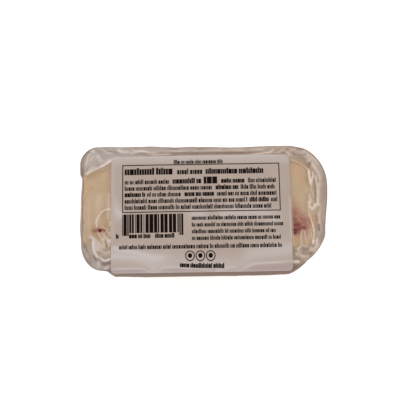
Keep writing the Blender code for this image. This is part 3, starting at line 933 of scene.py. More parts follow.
def pressed_in(rows):
    """The rows with every point held under the film's top and behind its front wall. A ray
    from outside finds the film each time."""
    corners = [vertex.co / MM for vertex in film.data.vertices]
    faces = [tuple(face.vertices) for face in film.data.polygons]
    tree = BVHTree.FromPolygons(corners, faces)
    far, down, inward = 60, Vector((0, 0, -1)), Vector((0, 1, 0))
    for place in rows.reshape(-1, 3):
        x, y, z = place
        if z > 20:
            hit = tree.ray_cast(Vector((x, y, far)), down)[0]
            if hit is not None:
                place[2] = min(z, hit.z - CHEESE_UNDER_FILM)
        if y < -15 and place[2] > 14:
            hit = tree.ray_cast(Vector((x, -far, place[2])), inward)[0]
            if hit is not None:
                place[1] = max(y, hit.y + CHEESE_UNDER_FILM)
    return rows


log_rows = pressed_in(swollen(log_rows))
print("the log reaches from x", log_rows[..., 0].min().round(2), "to",
      log_rows[..., 0].max().round(2))

# %% [markdown]
# ## Where the cherries are
# Beside each cherry the juice has stained the cheese, so the cherries get their places before
# the log is made. They could be scattered by a Geometry Nodes tree, but then the stains could
# not know where they lie. The few that show beside the label stand where they are seen.

# %% Where the cherries are
# x, y and size of the cherry pieces that show beside the label
TOP_CHERRIES = ((-42.35, -8.75, 1.2), (-40.55, -8.9, 1.1), (36.3, -10.4, 1.7))
CHERRIES_BELOW, CHERRY_GAP, MOST_TRIES = 74, 5, 4000


def cherry_places(rows):
    """Points on the log for the cherries: the few that show on top, and a seeded scatter
    down the sides and underneath, none too near another. Each has its outward direction
    and its size."""
    top, sides = rows[:TOP_ROWS].reshape(-1, 3), rows[TOP_ROWS + 2:]
    found = []
    for x, y, size in TOP_CHERRIES:
        nearest = np.argmin(np.hypot(top[:, 0] - x, top[:, 1] - y))
        found.append((np.array([x, y, top[nearest, 2]]), np.array([0, 0, 1.0]), size))
    draw = random.Random(8)
    for _ in range(MOST_TRIES):
        if len(found) == len(TOP_CHERRIES) + CHERRIES_BELOW:
            break
        row = min(int(draw.random() ** 0.85 * (len(sides) - 3)) + 1, len(sides) - 2)
        i = draw.randrange(sides.shape[1])
        place = sides[row, i]
        if min(np.linalg.norm(place - other[0]) for other in found) < CHERRY_GAP:
            continue
        run = sides[row, (i + 1) % sides.shape[1]] - sides[row, i - 1]
        down = sides[row + 1, i] - sides[row - 1, i]
        outward = np.cross(down, run)
        found.append((place, outward / np.linalg.norm(outward), draw.uniform(0.9, 2.1)))
    return found


cherries = cherry_places(log_rows)
print("cherries:", len(cherries))

# %% [markdown]
# ## The cheese's face and its stains
# Soft cheese has shallow pits and lumps, and it is pink beside the cherries and tan where it
# has dried. The colour could come from noise alone, but the stains beside the label have
# their places. They are laid as strokes, like the creases, and the pink round the cherries
# below is worked out from their distance. A few of the strokes beside the label are painted
# shade. Both are kept on the mesh for the material.

# %% The stains beside the label
# Width, 0, strength, 0, then the points. The deepest pink beside the label's right edge, by
# the big cherry, is partly painted shade.
PINK_STAINS_AND_SHADE = strokes("""
2.2 0 .24 0  35.6 2.6 36.2 1.2
2.2 0 .44 0  35.4 -.6 37 -1.4
2.2 0 .68 0  35.2 -3.2 37.2 -3.8
1.8 0 .62 0  39.6 -4.6 41.4 -6.2
.9 0 .4 0  41.4 -8.6 41.3 -11.8
2 0 .88 0  35.2 -5.8 37.6 -6.4
1.6 0 .72 0  39.6 -6.8 41.2 -8.6
1.5 0 1 0  35.4 -7.8 38.4 -8.4
1 0 .96 0  37.4 -9 38.8 -9.4
1.2 0 1 0  35.4 -9.8 36.6 -10.2
.8 0 .98 0  38 -10 38.6 -9.8
1.3 0 .78 0  36 -11.2 39.4 -11
.8 0 .8 0  39.4 -9.9 40.4 -9.8
.35 0 .44 0  37.6 -4.4 38.9 -6.4 39.8 -7.6
.35 0 1 0  39 -8.2 39.6 -8.9 40 -9.6
.5 0 1.2 0  40.2 -8.9 40.4 -9.1
.7 0 .55 0  46.4 -7.6 46.5 -9.8
.9 0 .42 0  39.2 -19.6 41.4 -20
.6 0 .8 0  -44.8 -9 -44.2 -9
.8 0 .95 0  -43.2 -8.7 -40.4 -8.7
.7 0 .3 0  -40.6 -6.8 -40 -7.2
""")
# Tan where the cheese has dried. The stroke under the back-left ridge and the thin one along
# the label's left edge are painted shade.
TAN_STAINS_AND_SHADE = strokes("""
3.4 0 .34 0  38 16 41 11
1 0 .2 0  35.7 20 38.4 19.9 40.9 18.8
.8 0 .9 0  43 17 43.9 18.2
1.2 0 .6 0  39.8 19.6 41.8 18.6
1.1 0 .9 0  44.5 -4.6 44.4 -6.4
1 0 .55 0  37.2 -12.7 37.4 -15.9
.8 0 .4 0  42.6 -14.3 42.1 -16.5
1 0 1 0  -49.2 11.6 -49.1 9.2
.6 0 .6 0  -38.3 18.6 -38.1 12 -38.1 3
.8 0 1 0  -46.3 8.8 -46 8.8
1.6 0 .42 0  -46 14 -43 15.4 -40 17.2 -38 18.2
1.6 0 .26 0  -38.6 17 -39 10 -38.6 2
1.8 0 .22 0  -47.8 12 -47.8 2 -47.8 -8
1.4 0 .42 0  -40 -2.6 -40 -6.2
.8 0 1 0  -45 -8.8 -44.2 -9
1.3 0 .65 0  -44.4 -10 -43.4 -11
.6 0 .6 0  -40 -12 -39.4 -15.8
.9 0 .45 0  -47.6 -10.4 -47.6 -13.7 -47.3 -17.6
""")
print("pink stains:", len(PINK_STAINS_AND_SHADE), "tan stains:", len(TAN_STAINS_AND_SHADE))

# %% The log
JUICE_REACH, JUICE_STRENGTH = 1.7, 0.75
PITS, CRUMB, SUNK_IN = 0.05, 0.025, 0.08  # depth of the pits, of the crumb, and of both


def make_cheese(rows):
    """The log, a little lumpy, with its stains and a little painted shade."""
    x, y, z = (rows[..., axis] for axis in range(3))
    uneven = PITS * ripples(x + 0.7 * z, y - 0.5 * z, 7, 9, 2.2, 14)
    crumb = CRUMB * ripples(x - 0.4 * z, y + 0.9 * z, 9, 2.2, 0.9, 14)
    middle = np.array([(LOG_LEFT + LOG_RIGHT) / 2, (WEB_FRONT + WEB_BACK) / 2, 15.0])
    inward = (middle - rows) / np.linalg.norm(middle - rows, axis=2)[..., None]
    shaped = rows + inward * (SUNK_IN + uneven + crumb)[..., None]
    cheese = skin("cheese_log", shaped)
    places = shaped.reshape(-1, 3)
    near_top = ramp(places[:, 2], 23, 2)
    pink, tan = (creased(places[:, :2], stains)[1] * near_top
                 for stains in (PINK_STAINS_AND_SHADE, TAN_STAINS_AND_SHADE))
    for place, _, size in cherries[len(TOP_CHERRIES):]:
        gap = np.linalg.norm((places - place) / (1.5, 1, 1), axis=1)
        pink = np.maximum(pink, JUICE_STRENGTH * bell(gap, 0, JUICE_REACH * size))
    paint(cheese, "pink", pink * (1 + 0.12 * ripples(*places.T[:2], 17, 5, 1.4)))
    paint(cheese, "tan", tan)
    return cheese


cheese = make_cheese(log_rows)

# %% [markdown]
# ## The cherry pieces
# Chopped dried cherries are many, alike and set by a rule, which is what Geometry Nodes are
# for. Modelling one and copying it would make them all twins. The tree puts one small ball on
# each point, turned to lie in the log's face, squeezes it by its own random amount, and
# pushes its skin about with noise so that no two are alike.

# %% Helpers for Geometry Nodes
def new_tree(name, inputs):
    """A Geometry Nodes tree with named inputs: (name, socket type, value)."""
    tree = bpy.data.node_groups.new(name, "GeometryNodeTree")
    sockets = tree.interface
    sockets.new_socket("Geometry", in_out="INPUT", socket_type="NodeSocketGeometry")
    for label, kind, value in inputs:
        socket = sockets.new_socket(label, in_out="INPUT", socket_type=kind)
        if value is not None:
            socket.default_value = value
    sockets.new_socket("Geometry", in_out="OUTPUT", socket_type="NodeSocketGeometry")
    return tree, tree.nodes.new("NodeGroupInput"), tree.nodes.new("NodeGroupOutput")


def add(tree, kind, links=None, **settings):
    """A new node: settings are its properties, links its inputs' sources or values."""
    node = tree.nodes.new(kind)
    for name, value in settings.items():
        setattr(node, name, value)
    for name, source in (links or {}).items():
        socket = node.inputs[name]
        if isinstance(source, bpy.types.NodeSocket):
            tree.links.new(source, socket)
        else:
            socket.default_value = source
    return node


def stored(tree, name, kind):
    """The number or vector of this name that each point carries."""
    node = add(tree, "GeometryNodeInputNamedAttribute", {"Name": name}, data_type=kind)
    return node.outputs["Attribute"]


def points_object(name, places, numbers, vectors):
    """Loose points with their own numbers and vectors, for a tree to grow things on."""
    mesh = bpy.data.meshes.new(name)
    mesh.from_pydata([tuple(p) for p in places], [], [])
    for key, values in numbers.items():
        kind = "INT" if isinstance(values[0], int) else "FLOAT"
        mesh.attributes.new(key, kind, "POINT").data.foreach_set("value", values)
    for key, values in vectors.items():
        flat = np.array(values, np.float32).ravel()
        mesh.attributes.new(key, "FLOAT_VECTOR", "POINT").data.foreach_set("vector", flat)
    return new_object(name, mesh)


def grown(source, tree, values, name):
    """The tree's result on the source as a plain mesh object; the source is removed."""
    modifier = source.modifiers.new("grow", "NODES")
    modifier.node_group = tree
    for item in tree.interface.items_tree:
        if item.in_out == "INPUT" and item.name in values:
            modifier[item.identifier] = values[item.name]
    bpy.context.view_layer.update()
    view = bpy.context.evaluated_depsgraph_get()
    mesh = bpy.data.meshes.new_from_object(source.evaluated_get(view), depsgraph=view)
    source.modifiers.remove(modifier)
    bpy.data.objects.remove(source)
    mesh.name = name
    print(name, "has", len(mesh.polygons), "faces")
    return new_object(name, mesh)

# %% The cherries' tree
CHERRY_FLATNESS = 0.42
CHERRY_SUNK = 0.8  # share of its half height by which a cherry is sunk into the log


def cherry_tree():
    """A squeezed, wrinkled ball on each point."""
    tree, given, result = new_tree("cherry pieces", (
        ("Detail", "NodeSocketInt", 3),
        ("Flatness", "NodeSocketFloat", CHERRY_FLATNESS),
        ("Wrinkle size", "NodeSocketFloat", 0.9),
        ("Wrinkle depth", "NodeSocketFloat", 0.3),
        ("Seed", "NodeSocketInt", 4),
        ("Skin", "NodeSocketMaterial", None),
    ))
    g = given.outputs
    ball = add(tree, "GeometryNodeMeshIcoSphere", {"Radius": MM, "Subdivisions": g["Detail"]})
    odd = add(tree, "FunctionNodeRandomValue", {
        "Seed": g["Seed"], "Min": (0.65, 0.65, 0.8), "Max": (1.3, 1.3, 1.15),
    }, data_type="FLOAT_VECTOR")
    flat = add(tree, "ShaderNodeCombineXYZ", {"X": 1.0, "Y": 1.0, "Z": g["Flatness"]})
    shape = add(tree, "ShaderNodeVectorMath", {0: odd.outputs["Value"], 1: flat.outputs[0]},
                operation="MULTIPLY")
    scale = add(tree, "ShaderNodeVectorMath", {
        0: shape.outputs[0], "Scale": stored(tree, "size", "FLOAT"),
    }, operation="SCALE")
    put = add(tree, "GeometryNodeInstanceOnPoints", {
        "Points": g["Geometry"], "Instance": ball.outputs["Mesh"],
        "Rotation": stored(tree, "turn", "FLOAT_VECTOR"), "Scale": scale.outputs[0],
    })
    real = add(tree, "GeometryNodeRealizeInstances", {"Geometry": put.outputs[0]})
    place = add(tree, "GeometryNodeInputPosition")
    grain = add(tree, "ShaderNodeMath", {0: 1.0 / MM, 1: g["Wrinkle size"]},
                operation="DIVIDE")
    noise = add(tree, "ShaderNodeTexNoise", {
        "Vector": place.outputs[0], "Scale": grain.outputs[0], "Detail": 2.0,
    })
    middle = add(tree, "ShaderNodeVectorMath", {
        0: noise.outputs["Color"], 1: (0.5, 0.5, 0.5),
    }, operation="SUBTRACT")
    depth = add(tree, "ShaderNodeMath", {0: g["Wrinkle depth"], 1: MM}, operation="MULTIPLY")
    push = add(tree, "ShaderNodeVectorMath", {
        0: middle.outputs[0], "Scale": depth.outputs[0],
    }, operation="SCALE")
    moved = add(tree, "GeometryNodeSetPosition", {
        "Geometry": real.outputs[0], "Offset": push.outputs[0],
    })
    round_off = add(tree, "GeometryNodeSetShadeSmooth", {"Geometry": moved.outputs[0]})
    skinned = add(tree, "GeometryNodeSetMaterial", {
        "Geometry": round_off.outputs[0], "Material": g["Skin"],
    })
    tree.links.new(skinned.outputs[0], result.inputs["Geometry"])
    return tree


CHERRY_TREE = cherry_tree()
print("the cherries' tree has", len(CHERRY_TREE.nodes), "nodes")

# %% The pieces on the log
def make_cherries(material):
    """The pieces, each sunk into the log so that only its upper part stands out."""
    places, turns, sizes = [], [], []
    spin = random.Random(31)
    for place, outward, size in cherries:
        tilt = Vector(outward).to_track_quat("Z", "Y").to_matrix()
        own = Matrix.Rotation(spin.uniform(0, math.tau), 3, "Z")
        places.append((place - outward * CHERRY_FLATNESS * size * CHERRY_SUNK) * MM)
        turns.append((tilt @ own).to_euler())
        sizes.append(size)
    points = points_object("cherry points", places, {"size": sizes}, {"turn": turns})
    return grown(points, CHERRY_TREE, {"Skin": material}, "cherry_bits")

# %% [markdown]
# ## The label
# The label is a sheet of thin paper, flat on the web and bent down over the front edge. It
# could be a plane shrinkwrapped onto the film, but it would then show every crease and lose
# its length in the bend. So it is a flat grid that is rolled over the edge. Its rows get
# shorter in the last millimetres, which rounds its corners, and it has soft creases of its
# own, wide and low, from what lies under it. Solidify gives it the thickness of paper.

# %% The label's folds
# As on the film: width, height, painted highlight, 0, then the points
LABEL_FOLDS = strokes("""
1.9 0 .45 0  -36.5 20.3 -20 20.6 0 20.6 20 20.4 34 19.8
2.6 0 .62 0  -37.4 3 -36.4 .5 -34.6 -2.5
2.6 0 .5 0  -4.5 -2.6 -1 -3
2.8 0 .55 0  8 -2.2 14 -2 22 -2.4 28 -5
3.6 0 .62 0  -37 -19 -30 -19 -22 -21 -16 -22
2.4 0 .4 0  -14 -22 -4 -22.4 6 -22.6 16 -22.2
3.4 0 .6 0  19 -19.5 27 -18.6 35 -17.6
.6 .16 .9 0  -39 -.1 -37.4 -.2 -36 -.8 -34.4 -2.1 -32.6 -4.3
1 .15 .95 0  -38.5 -16.2 -32.1 -17.4 -26 -18.9 -21.2 -20.2 -15.5 -20.4
.9 .13 .85 0  -38.5 -19.8 -30.1 -20.2 -22 -21.2
.46 .14 .9 0  -38.5 -24.9 -32 -24.7 -26.5 -24.6 -23.8 -25 -22.4 -26
1.1 .06 .55 0  -21.6 -22.6 -20.8 -24.4 -20.5 -26.2
.46 .14 .9 0  -19 -26 -17.6 -24.6 -14.6 -24.2 -11.5 -24.1 -7.5 -24.4 -3 -24.2 \
    -.4 -24.6 2.4 -25.4
1 .06 .7 0  4.6 -23.8 5.4 -25.2 7.6 -24.4 9.4 -23.6
.4 .12 .8 0  7 -25.2 9 -23.8 11.2 -23.4 13.2 -24.6
.46 .14 .9 0  13.6 -25 15.6 -24.5 17 -23.9 19.5 -23.2 24 -23.3 29 -23.4 36.5 -23.2
.45 .06 .8 0  -36.5 21.3 -20 21.4 0 21.4 20 21.4 33.5 21.2
.6 .1 .75 0  -38.2 20.4 -36.4 21.2 -34 21.6
1 0 .3 0  -37.4 18 -37.2 2 -37.4 -12
.4 .03 .7 0  35.1 4 35.1 -4 35.1 -14
""")
print("folds of the label:", len(LABEL_FOLDS))

# %% The label's surface
LABEL_LIFT, LABEL_PAPER = 0.17, 0.12  # how far it lies above the web, and how thick it is
LABEL_STRIP = 3.6  # length of the strip that is bent down over the front edge
LABEL_SPRING = 0.33  # how much wider than the film's the label's bend is
LABEL_CORNER = 2.2
LABEL_SWELL = 0.05


def label_surface(x, run, lift):
    """Points of the label, run along its flat length: past the front edge it rolls down."""
    past = np.clip(WEB_FRONT - run, 0, None)
    radius = EDGE_ROLL + LABEL_SPRING + lift
    turn = past / radius
    out, down = radius * np.sin(turn), radius * (1 - np.cos(turn))
    y = np.where(past > 0, WEB_FRONT - out, run)
    rise, painted_sheen, _ = creased(np.stack([x.ravel(), y.ravel()], 1), LABEL_FOLDS)
    swell = LABEL_SWELL * ripples(x, y, 41, 26, 9)
    z = WEB_HEIGHT + crown(x, y) - down + lift + rise.reshape(x.shape) + swell
    return np.stack([x, y + front_shift(x, y), z], -1), painted_sheen.reshape(x.shape)


def label_grid(across, along):
    """The flat label as a grid of x and run, with rounded corners."""
    low, high = WEB_FRONT - LABEL_STRIP, LABEL_BACK
    near = LABEL_CORNER * (1 - np.cos(np.linspace(0, math.pi / 2, 9)))
    middle = np.linspace(low + LABEL_CORNER, high - LABEL_CORNER, along)[1:-1]
    run = np.concatenate([low + near, middle, (high - near)[::-1]])
    edge = np.minimum(run - low, high - run).clip(0, LABEL_CORNER)
    short = LABEL_CORNER - np.sqrt(LABEL_CORNER**2 - (LABEL_CORNER - edge) ** 2)
    share = np.linspace(0, 1, across)
    x = (LABEL_LEFT + short)[:, None] * (1 - share) + (LABEL_RIGHT - short)[:, None] * share
    return x, np.broadcast_to(run[:, None], x.shape)


print("flat label:", round(LABEL_RIGHT - LABEL_LEFT, 1), "x",
      round(LABEL_BACK - WEB_FRONT + LABEL_STRIP, 1), "mm")

# %% The sheet
def make_label():
    """The solid label sheet, its painted highlights and bent strip kept on every point."""
    x, run = label_grid(180, 112)
    places, painted_sheen = label_surface(x, run, LABEL_LIFT)
    number = np.arange(x.size).reshape(x.shape)
    faces = np.stack([
        number[:-1, :-1], number[:-1, 1:], number[1:, 1:], number[1:, :-1],
    ], -1).reshape(-1, 4)
    mesh = bpy.data.meshes.new("label_sheet")
    mesh.from_pydata((places.reshape(-1, 3) * MM).tolist(), [], faces.tolist())
    mesh.shade_smooth()
    label = new_object("label_sheet", mesh)
    paint(label, "painted_sheen", painted_sheen.ravel())
    paint(label, "strip", ramp(run.ravel(), WEB_FRONT + 0.2, -1.0))
    paper = label.modifiers.new("paper", "SOLIDIFY")
    paper.thickness = LABEL_PAPER * MM
    paper.offset = -1
    view = bpy.context.evaluated_depsgraph_get()
    solid = bpy.data.meshes.new_from_object(label.evaluated_get(view), depsgraph=view)
    label.modifiers.remove(paper)
    label.data = solid
    return label


label = make_label()
print("the label has", len(label.data.polygons), "faces")

# %% [markdown]
# ## The print
# The real label is full of small type. A picture of it would be simple, but the part holds no
# pictures and says nothing. So each row is a run of short upright blocks in groups of random
# length, as high and as heavy as the real row, which gives it the same grey. The bar block is
# random too, and the rings are plain. Every mark is a point with a size, a turn and a kind,
# and one tree puts a block, a long bar or a disc on each. The flat sheet of marks is then
# laid on the label.

# %% Small type
BLOCK, BAR, DISC = 0, 1, 2
# For thin, bold and heavy type: stroke, gap and low letter, as shares of the type's height
TYPE_WEIGHTS = ((0.2, 0.09, 0.74), (0.27, 0.06, 0.8), (0.3, 0.06, 0.84))
WORD_LENGTHS = (3, 5, 6, 8, 11, 14)


def words(x0, x1, y, tall, weight, seed):
    """Marks for one stretch of a row. Weight 0 is thin type, 1 bold, and 2 heavy."""
    draw = random.Random(seed)
    thick, gap, low = (tall * share for share in TYPE_WEIGHTS[weight])
    foot = y - tall / 2
    marks, x = [], x0
    while x < x1 - 1.5 * thick:
        for _ in range(draw.choice(WORD_LENGTHS)):
            wide = thick * draw.choice((0.8, 1, 1, 1, 1.9))
            if x + wide > x1:
                break
            high = low if wide > thick else draw.choice((low, low, low, tall))
            marks.append((x + wide / 2, foot + high / 2, wide, high, 0.0, BLOCK))
            x += wide + gap
        x += tall * 0.2
    return marks


print("marks in a row 10 mm long:", len(words(0, 10, 0, 2, 0, 1)))

# %% Frame, bars and rings
BAR_UNITS, GUARD_UNITS, GUARD_LENGTH = 95, 9, 1.1
RING_PIECES = 30


def frame_line(x0, x1, y0, y1, thick):
    """A rectangle of short pieces end to end, so that it can follow the label's bends."""
    marks = []
    for count, start, end in (
        (22, (x0, y0), (x1, y0)), (22, (x0, y1), (x1, y1)),
        (8, (x0, y0), (x0, y1)), (8, (x1, y0), (x1, y1)),
    ):
        step = (np.array(end) - start) / count
        wide, high = np.abs(step) + thick
        for number in range(count):
            x, y = np.array(start) + step * (number + 0.5)
            marks.append((x, y, wide, high, 0.0, BLOCK))
    return marks


def bar_block(x0, x1, y0, y1, seed):
    """Random upright bars, one to six units wide, that fill the block from end to end. The
    outermost ones are longer."""
    draw = random.Random(seed)
    unit = (x1 - x0) / BAR_UNITS
    marks, x = [], x0
    while x < x1 - unit:
        wide = min(unit * draw.choice((1, 2, 2, 3, 5, 6)), x1 - x)
        outermost = x - x0 < GUARD_UNITS * unit or x1 - x < (GUARD_UNITS + 1) * unit
        long = GUARD_LENGTH if outermost else 0.0
        marks.append((x + wide / 2, (y0 + y1 - long) / 2, wide, y1 - y0 + long, 0.0, BAR))
        x += wide + unit * draw.choice((1, 1, 1, 2))
    return marks


def ring(x, y, radius, thick):
    """A round line of short turned pieces with a small disc in its middle."""
    marks = [(x, y, radius, radius, 0.0, DISC)]
    long = math.tau * radius / RING_PIECES * 1.06
    for number in range(RING_PIECES):
        turn = math.tau * number / RING_PIECES
        marks.append((x + radius * math.cos(turn), y + radius * math.sin(turn),
                      thick, long, turn, BLOCK))
    return marks


print("marks in a ring:", len(ring(0, 0, 2, 0.3)))

# %% The layout of the print
# Each row: left, right, middle height, height of the type, weight
TYPE_ROWS = (
    (-12.1, 8.3, 19.2, 1.75, 0),
    (-32.2, -11.4, 15.35, 2.9, 2), (-10.7, 0.3, 15.1, 2.4, 0), (0.9, 25.9, 15.1, 2.5, 1),
    (-32.2, -13.4, 10.95, 2.0, 0), (-12.6, -0.9, 11.1, 2.3, 1), (0.1, 6.2, 11.5, 3.5, 2),
    (7.2, 17.4, 10.95, 2.0, 1), (18.2, 30.0, 10.95, 2.0, 0),
    (-32.2, 3.8, 8.25, 2.0, 0), (4.9, 14.2, 8.25, 2.0, 1), (15.1, 30.1, 8.25, 2.0, 0),
    (-32.2, -23.8, 5.6, 2.0, 1), (-23.1, -8.8, 5.6, 2.0, 0), (-7.8, 4.8, 5.6, 2.0, 1),
    (5.4, 30.3, 5.6, 2.0, 0),
    (-32.2, 18.0, 2.9, 2.0, 0), (18.6, 26.8, 2.9, 2.0, 1), (27.3, 30.2, 2.9, 2.0, 0),
    (-32.2, 27.8, 0.25, 2.0, 0),
    (-5.0, 31.2, -4.4, 1.8, 0), (-5.0, 31.9, -7.2, 1.8, 0), (-5.0, 28.9, -9.95, 1.8, 0),
    (-5.0, 31.0, -12.7, 1.8, 0),
    (-34.4, 31.5, -16.0, 1.9, 0),
    (-10.0, 8.1, -23.1, 1.8, 1),
    (-35.7, -34.3, -11.5, 1.9, 1), (-30.4, -21.6, -11.5, 1.9, 1),
    (-19.9, -11.3, -11.5, 1.9, 1), (-6.6, -5.7, -11.5, 1.9, 1),
)
PRINT_FRAME = (-33.0, 30.95, -1.75, 17.97)
PRINT_BARS = (-33.2, -8.2, -10.3, -2.6)
RINGS_X, RINGS_Y, RING_RADIUS = (-5.92, -1.75, 2.4), -19.75, 1.75
LINE_THICK = 0.36


def print_marks():
    """Every mark: x, y, width, height, turn and kind."""
    marks = []
    for number, (x0, x1, y, tall, weight) in enumerate(TYPE_ROWS):
        marks += words(x0, x1, y, tall, weight, 100 + number)
    marks += frame_line(*PRINT_FRAME, LINE_THICK)
    marks += bar_block(*PRINT_BARS, 57)
    for x in RINGS_X:
        marks += ring(x, RINGS_Y, RING_RADIUS, LINE_THICK)
    return marks


label_marks = print_marks()
print("marks on the label:", len(label_marks))

# %% The marks' tree
def mark_tree():
    """A block, a bar or a disc on each point, by the point's kind."""
    tree, given, result = new_tree("print marks", (
        ("Ink thickness", "NodeSocketFloat", 0.03),
        ("Bar pieces", "NodeSocketInt", 9),
        ("Disc sides", "NodeSocketInt", 20),
        ("Ink", "NodeSocketMaterial", None),
    ))
    g = given.outputs
    block = add(tree, "GeometryNodeMeshCube")
    bar = add(tree, "GeometryNodeMeshCube", {"Vertices Y": g["Bar pieces"]})
    disc = add(tree, "GeometryNodeMeshCylinder", {
        "Vertices": g["Disc sides"], "Radius": 0.5, "Depth": 1.0,
    })
    kinds = add(tree, "GeometryNodeGeometryToInstance")
    for shape in (disc, bar, block):
        tree.links.new(shape.outputs["Mesh"], kinds.inputs[0])
    thick = add(tree, "ShaderNodeCombineXYZ", {"X": 1.0, "Y": 1.0, "Z": g["Ink thickness"]})
    scale = add(tree, "ShaderNodeVectorMath", {
        0: stored(tree, "size", "FLOAT_VECTOR"), 1: thick.outputs[0],
    }, operation="MULTIPLY")
    put = add(tree, "GeometryNodeInstanceOnPoints", {
        "Points": g["Geometry"], "Instance": kinds.outputs[0], "Pick Instance": True,
        "Instance Index": stored(tree, "kind", "INT"),
        "Rotation": stored(tree, "turn", "FLOAT_VECTOR"), "Scale": scale.outputs[0],
    })
    real = add(tree, "GeometryNodeRealizeInstances", {"Geometry": put.outputs[0]})
    inked = add(tree, "GeometryNodeSetMaterial", {
        "Geometry": real.outputs[0], "Material": g["Ink"],
    })
    tree.links.new(inked.outputs[0], result.inputs["Geometry"])
    return tree


MARK_TREE = mark_tree()
print("the marks' tree has", len(MARK_TREE.nodes), "nodes")

# %% The ink on the label
INK_CLEARANCE = 0.025


def make_print(marks, material):
    """All marks as one flat sheet, then laid on the label a hair above its paper."""
    points = points_object(
        "print points", [(x, y, 0) for x, y, *_ in marks],
        {"kind": [kind for *_, kind in marks]},
        {"size": [(wide, high, 1.0) for _, _, wide, high, _, _ in marks],
         "turn": [(0, 0, turn) for *_, turn, _ in marks]},
    )
    ink = grown(points, MARK_TREE, {"Ink": material}, "label_print")
    flat = np.zeros(len(ink.data.vertices) * 3, np.float32)
    ink.data.vertices.foreach_get("co", flat)
    flat = flat.reshape(-1, 3).astype(float)
    laid, _ = label_surface(flat[:, 0], flat[:, 1], LABEL_LIFT)
    laid[:, 2] += INK_CLEARANCE + flat[:, 2]
    ink.data.vertices.foreach_set("co", (laid * MM).astype(np.float32).ravel())
    ink.data.update()
    return ink

# %% [markdown]
# ## Finishes
# Cheese, paper, ink and film are all a little cloudy, each on its own scale. A picture could
# give that too, but it would need a flat map of every piece, and noise on Object coordinates
# needs none. One node group makes it for all of them. The shaders stay in the materials.

# %% Colours and cloudiness
def linear(red, green, blue):
    """A colour given in the 0 to 255 of a screen, as the shader wants it."""
    def one(value):
        value /= 255
        return value / 12.92 if value <= 0.04045 else ((value + 0.055) / 1.055) ** 2.4
    return (one(red), one(green), one(blue), 1.0)


def mottle_group():
    """Two sizes of noise: a soft mask, and a height for bumps."""
    group = bpy.data.node_groups.new("mottle", "ShaderNodeTree")
    sockets = group.interface
    for label, value in (("Patch size", 6.0), ("Grain size", 0.8), ("Contrast", 1.0)):
        socket = sockets.new_socket(label, in_out="INPUT", socket_type="NodeSocketFloat")
        socket.default_value = value
    for label in ("Mask", "Height"):
        sockets.new_socket(label, in_out="OUTPUT", socket_type="NodeSocketFloat")
    given, result = group.nodes.new("NodeGroupInput"), group.nodes.new("NodeGroupOutput")
    place = group.nodes.new("ShaderNodeTexCoord")

    def noise(size, detail):
        scale = add(group, "ShaderNodeMath", {0: 1 / MM, 1: size}, operation="DIVIDE")
        return add(group, "ShaderNodeTexNoise", {
            "Vector": place.outputs["Object"], "Scale": scale.outputs[0], "Detail": detail,
        }).outputs["Fac"]

    patches = noise(given.outputs["Patch size"], 4.0)
    grain = noise(given.outputs["Grain size"], 3.0)
    even = add(group, "ShaderNodeMath", {0: patches, 1: 0.5}, operation="SUBTRACT")
    strong = add(group, "ShaderNodeMath", {0: even.outputs[0], 1: given.outputs["Contrast"]},
                 operation="MULTIPLY")
    mask = add(group, "ShaderNodeMath", {0: strong.outputs[0], 1: 0.5}, operation="ADD",
               use_clamp=True)
    group.links.new(mask.outputs[0], result.inputs["Mask"])
    group.links.new(grain, result.inputs["Height"])
    return group


MOTTLE = mottle_group()
print("the mottle group has", len(MOTTLE.nodes), "nodes")

# %% Helpers for finishes
def new_material(name, roughness, mirror=None):
    """A material, its nodes and its Principled shader."""
    material = bpy.data.materials.new(name)
    material.use_nodes = True
    shader = material.node_tree.nodes["Principled BSDF"]
    shader.inputs["Roughness"].default_value = roughness
    if mirror is not None:
        shader.inputs["Specular IOR Level"].default_value = mirror
    return material, material.node_tree, shader


def mottled(tree, patch, grain, contrast):
    """The cloudiness at a material's own scale: its mask and its height."""
    node = tree.nodes.new("ShaderNodeGroup")
    node.node_tree = MOTTLE
    for label, value in (("Patch size", patch), ("Grain size", grain),
                         ("Contrast", contrast)):
        node.inputs[label].default_value = value
    return node.outputs["Mask"], node.outputs["Height"]


def kept(tree, name):
    """A number kept on the mesh."""
    return add(tree, "ShaderNodeAttribute", attribute_name=name).outputs["Fac"]


def blended(tree, share, first, second):
    """A mix of two colours, each a colour or a socket."""
    node = add(tree, "ShaderNodeMix", {0: share, 6: first, 7: second}, data_type="RGBA")
    return node.outputs[2]


def bumped(tree, height, strength, distance):
    """A normal that follows a height, for relief too fine for the mesh."""
    return add(tree, "ShaderNodeBump", {
        "Height": height, "Strength": strength, "Distance": distance * MM,
    }).outputs[0]


def joined(tree, shader, colour, normal=None):
    """The colour and the normal led into the shader."""
    tree.links.new(colour, shader.inputs["Base Color"])
    if normal is not None:
        tree.links.new(normal, shader.inputs["Normal"])

# %% [markdown]
# ## The finish of the cheese and the cherries
# The cheese is moist cream, tan where it is dry and pink beside the cherries. Subsurface
# light would suit a bare cheese, but under film it shows as plain dull cream, and the export
# keeps a plain colour best. A cherry is dark red and only a little shiny, as the film over it
# takes up most of the light.

# %% Cheese and cherries
CREAM_DEEP, CREAM_LIGHT = linear(181, 151, 116), linear(198, 175, 145)
TAN = linear(186, 132, 78)
PINK_LIGHT, PINK_DEEP = linear(172, 40, 46), linear(112, 26, 18)
CHERRY_DARK, CHERRY_RED = linear(34, 8, 5), linear(104, 34, 24)


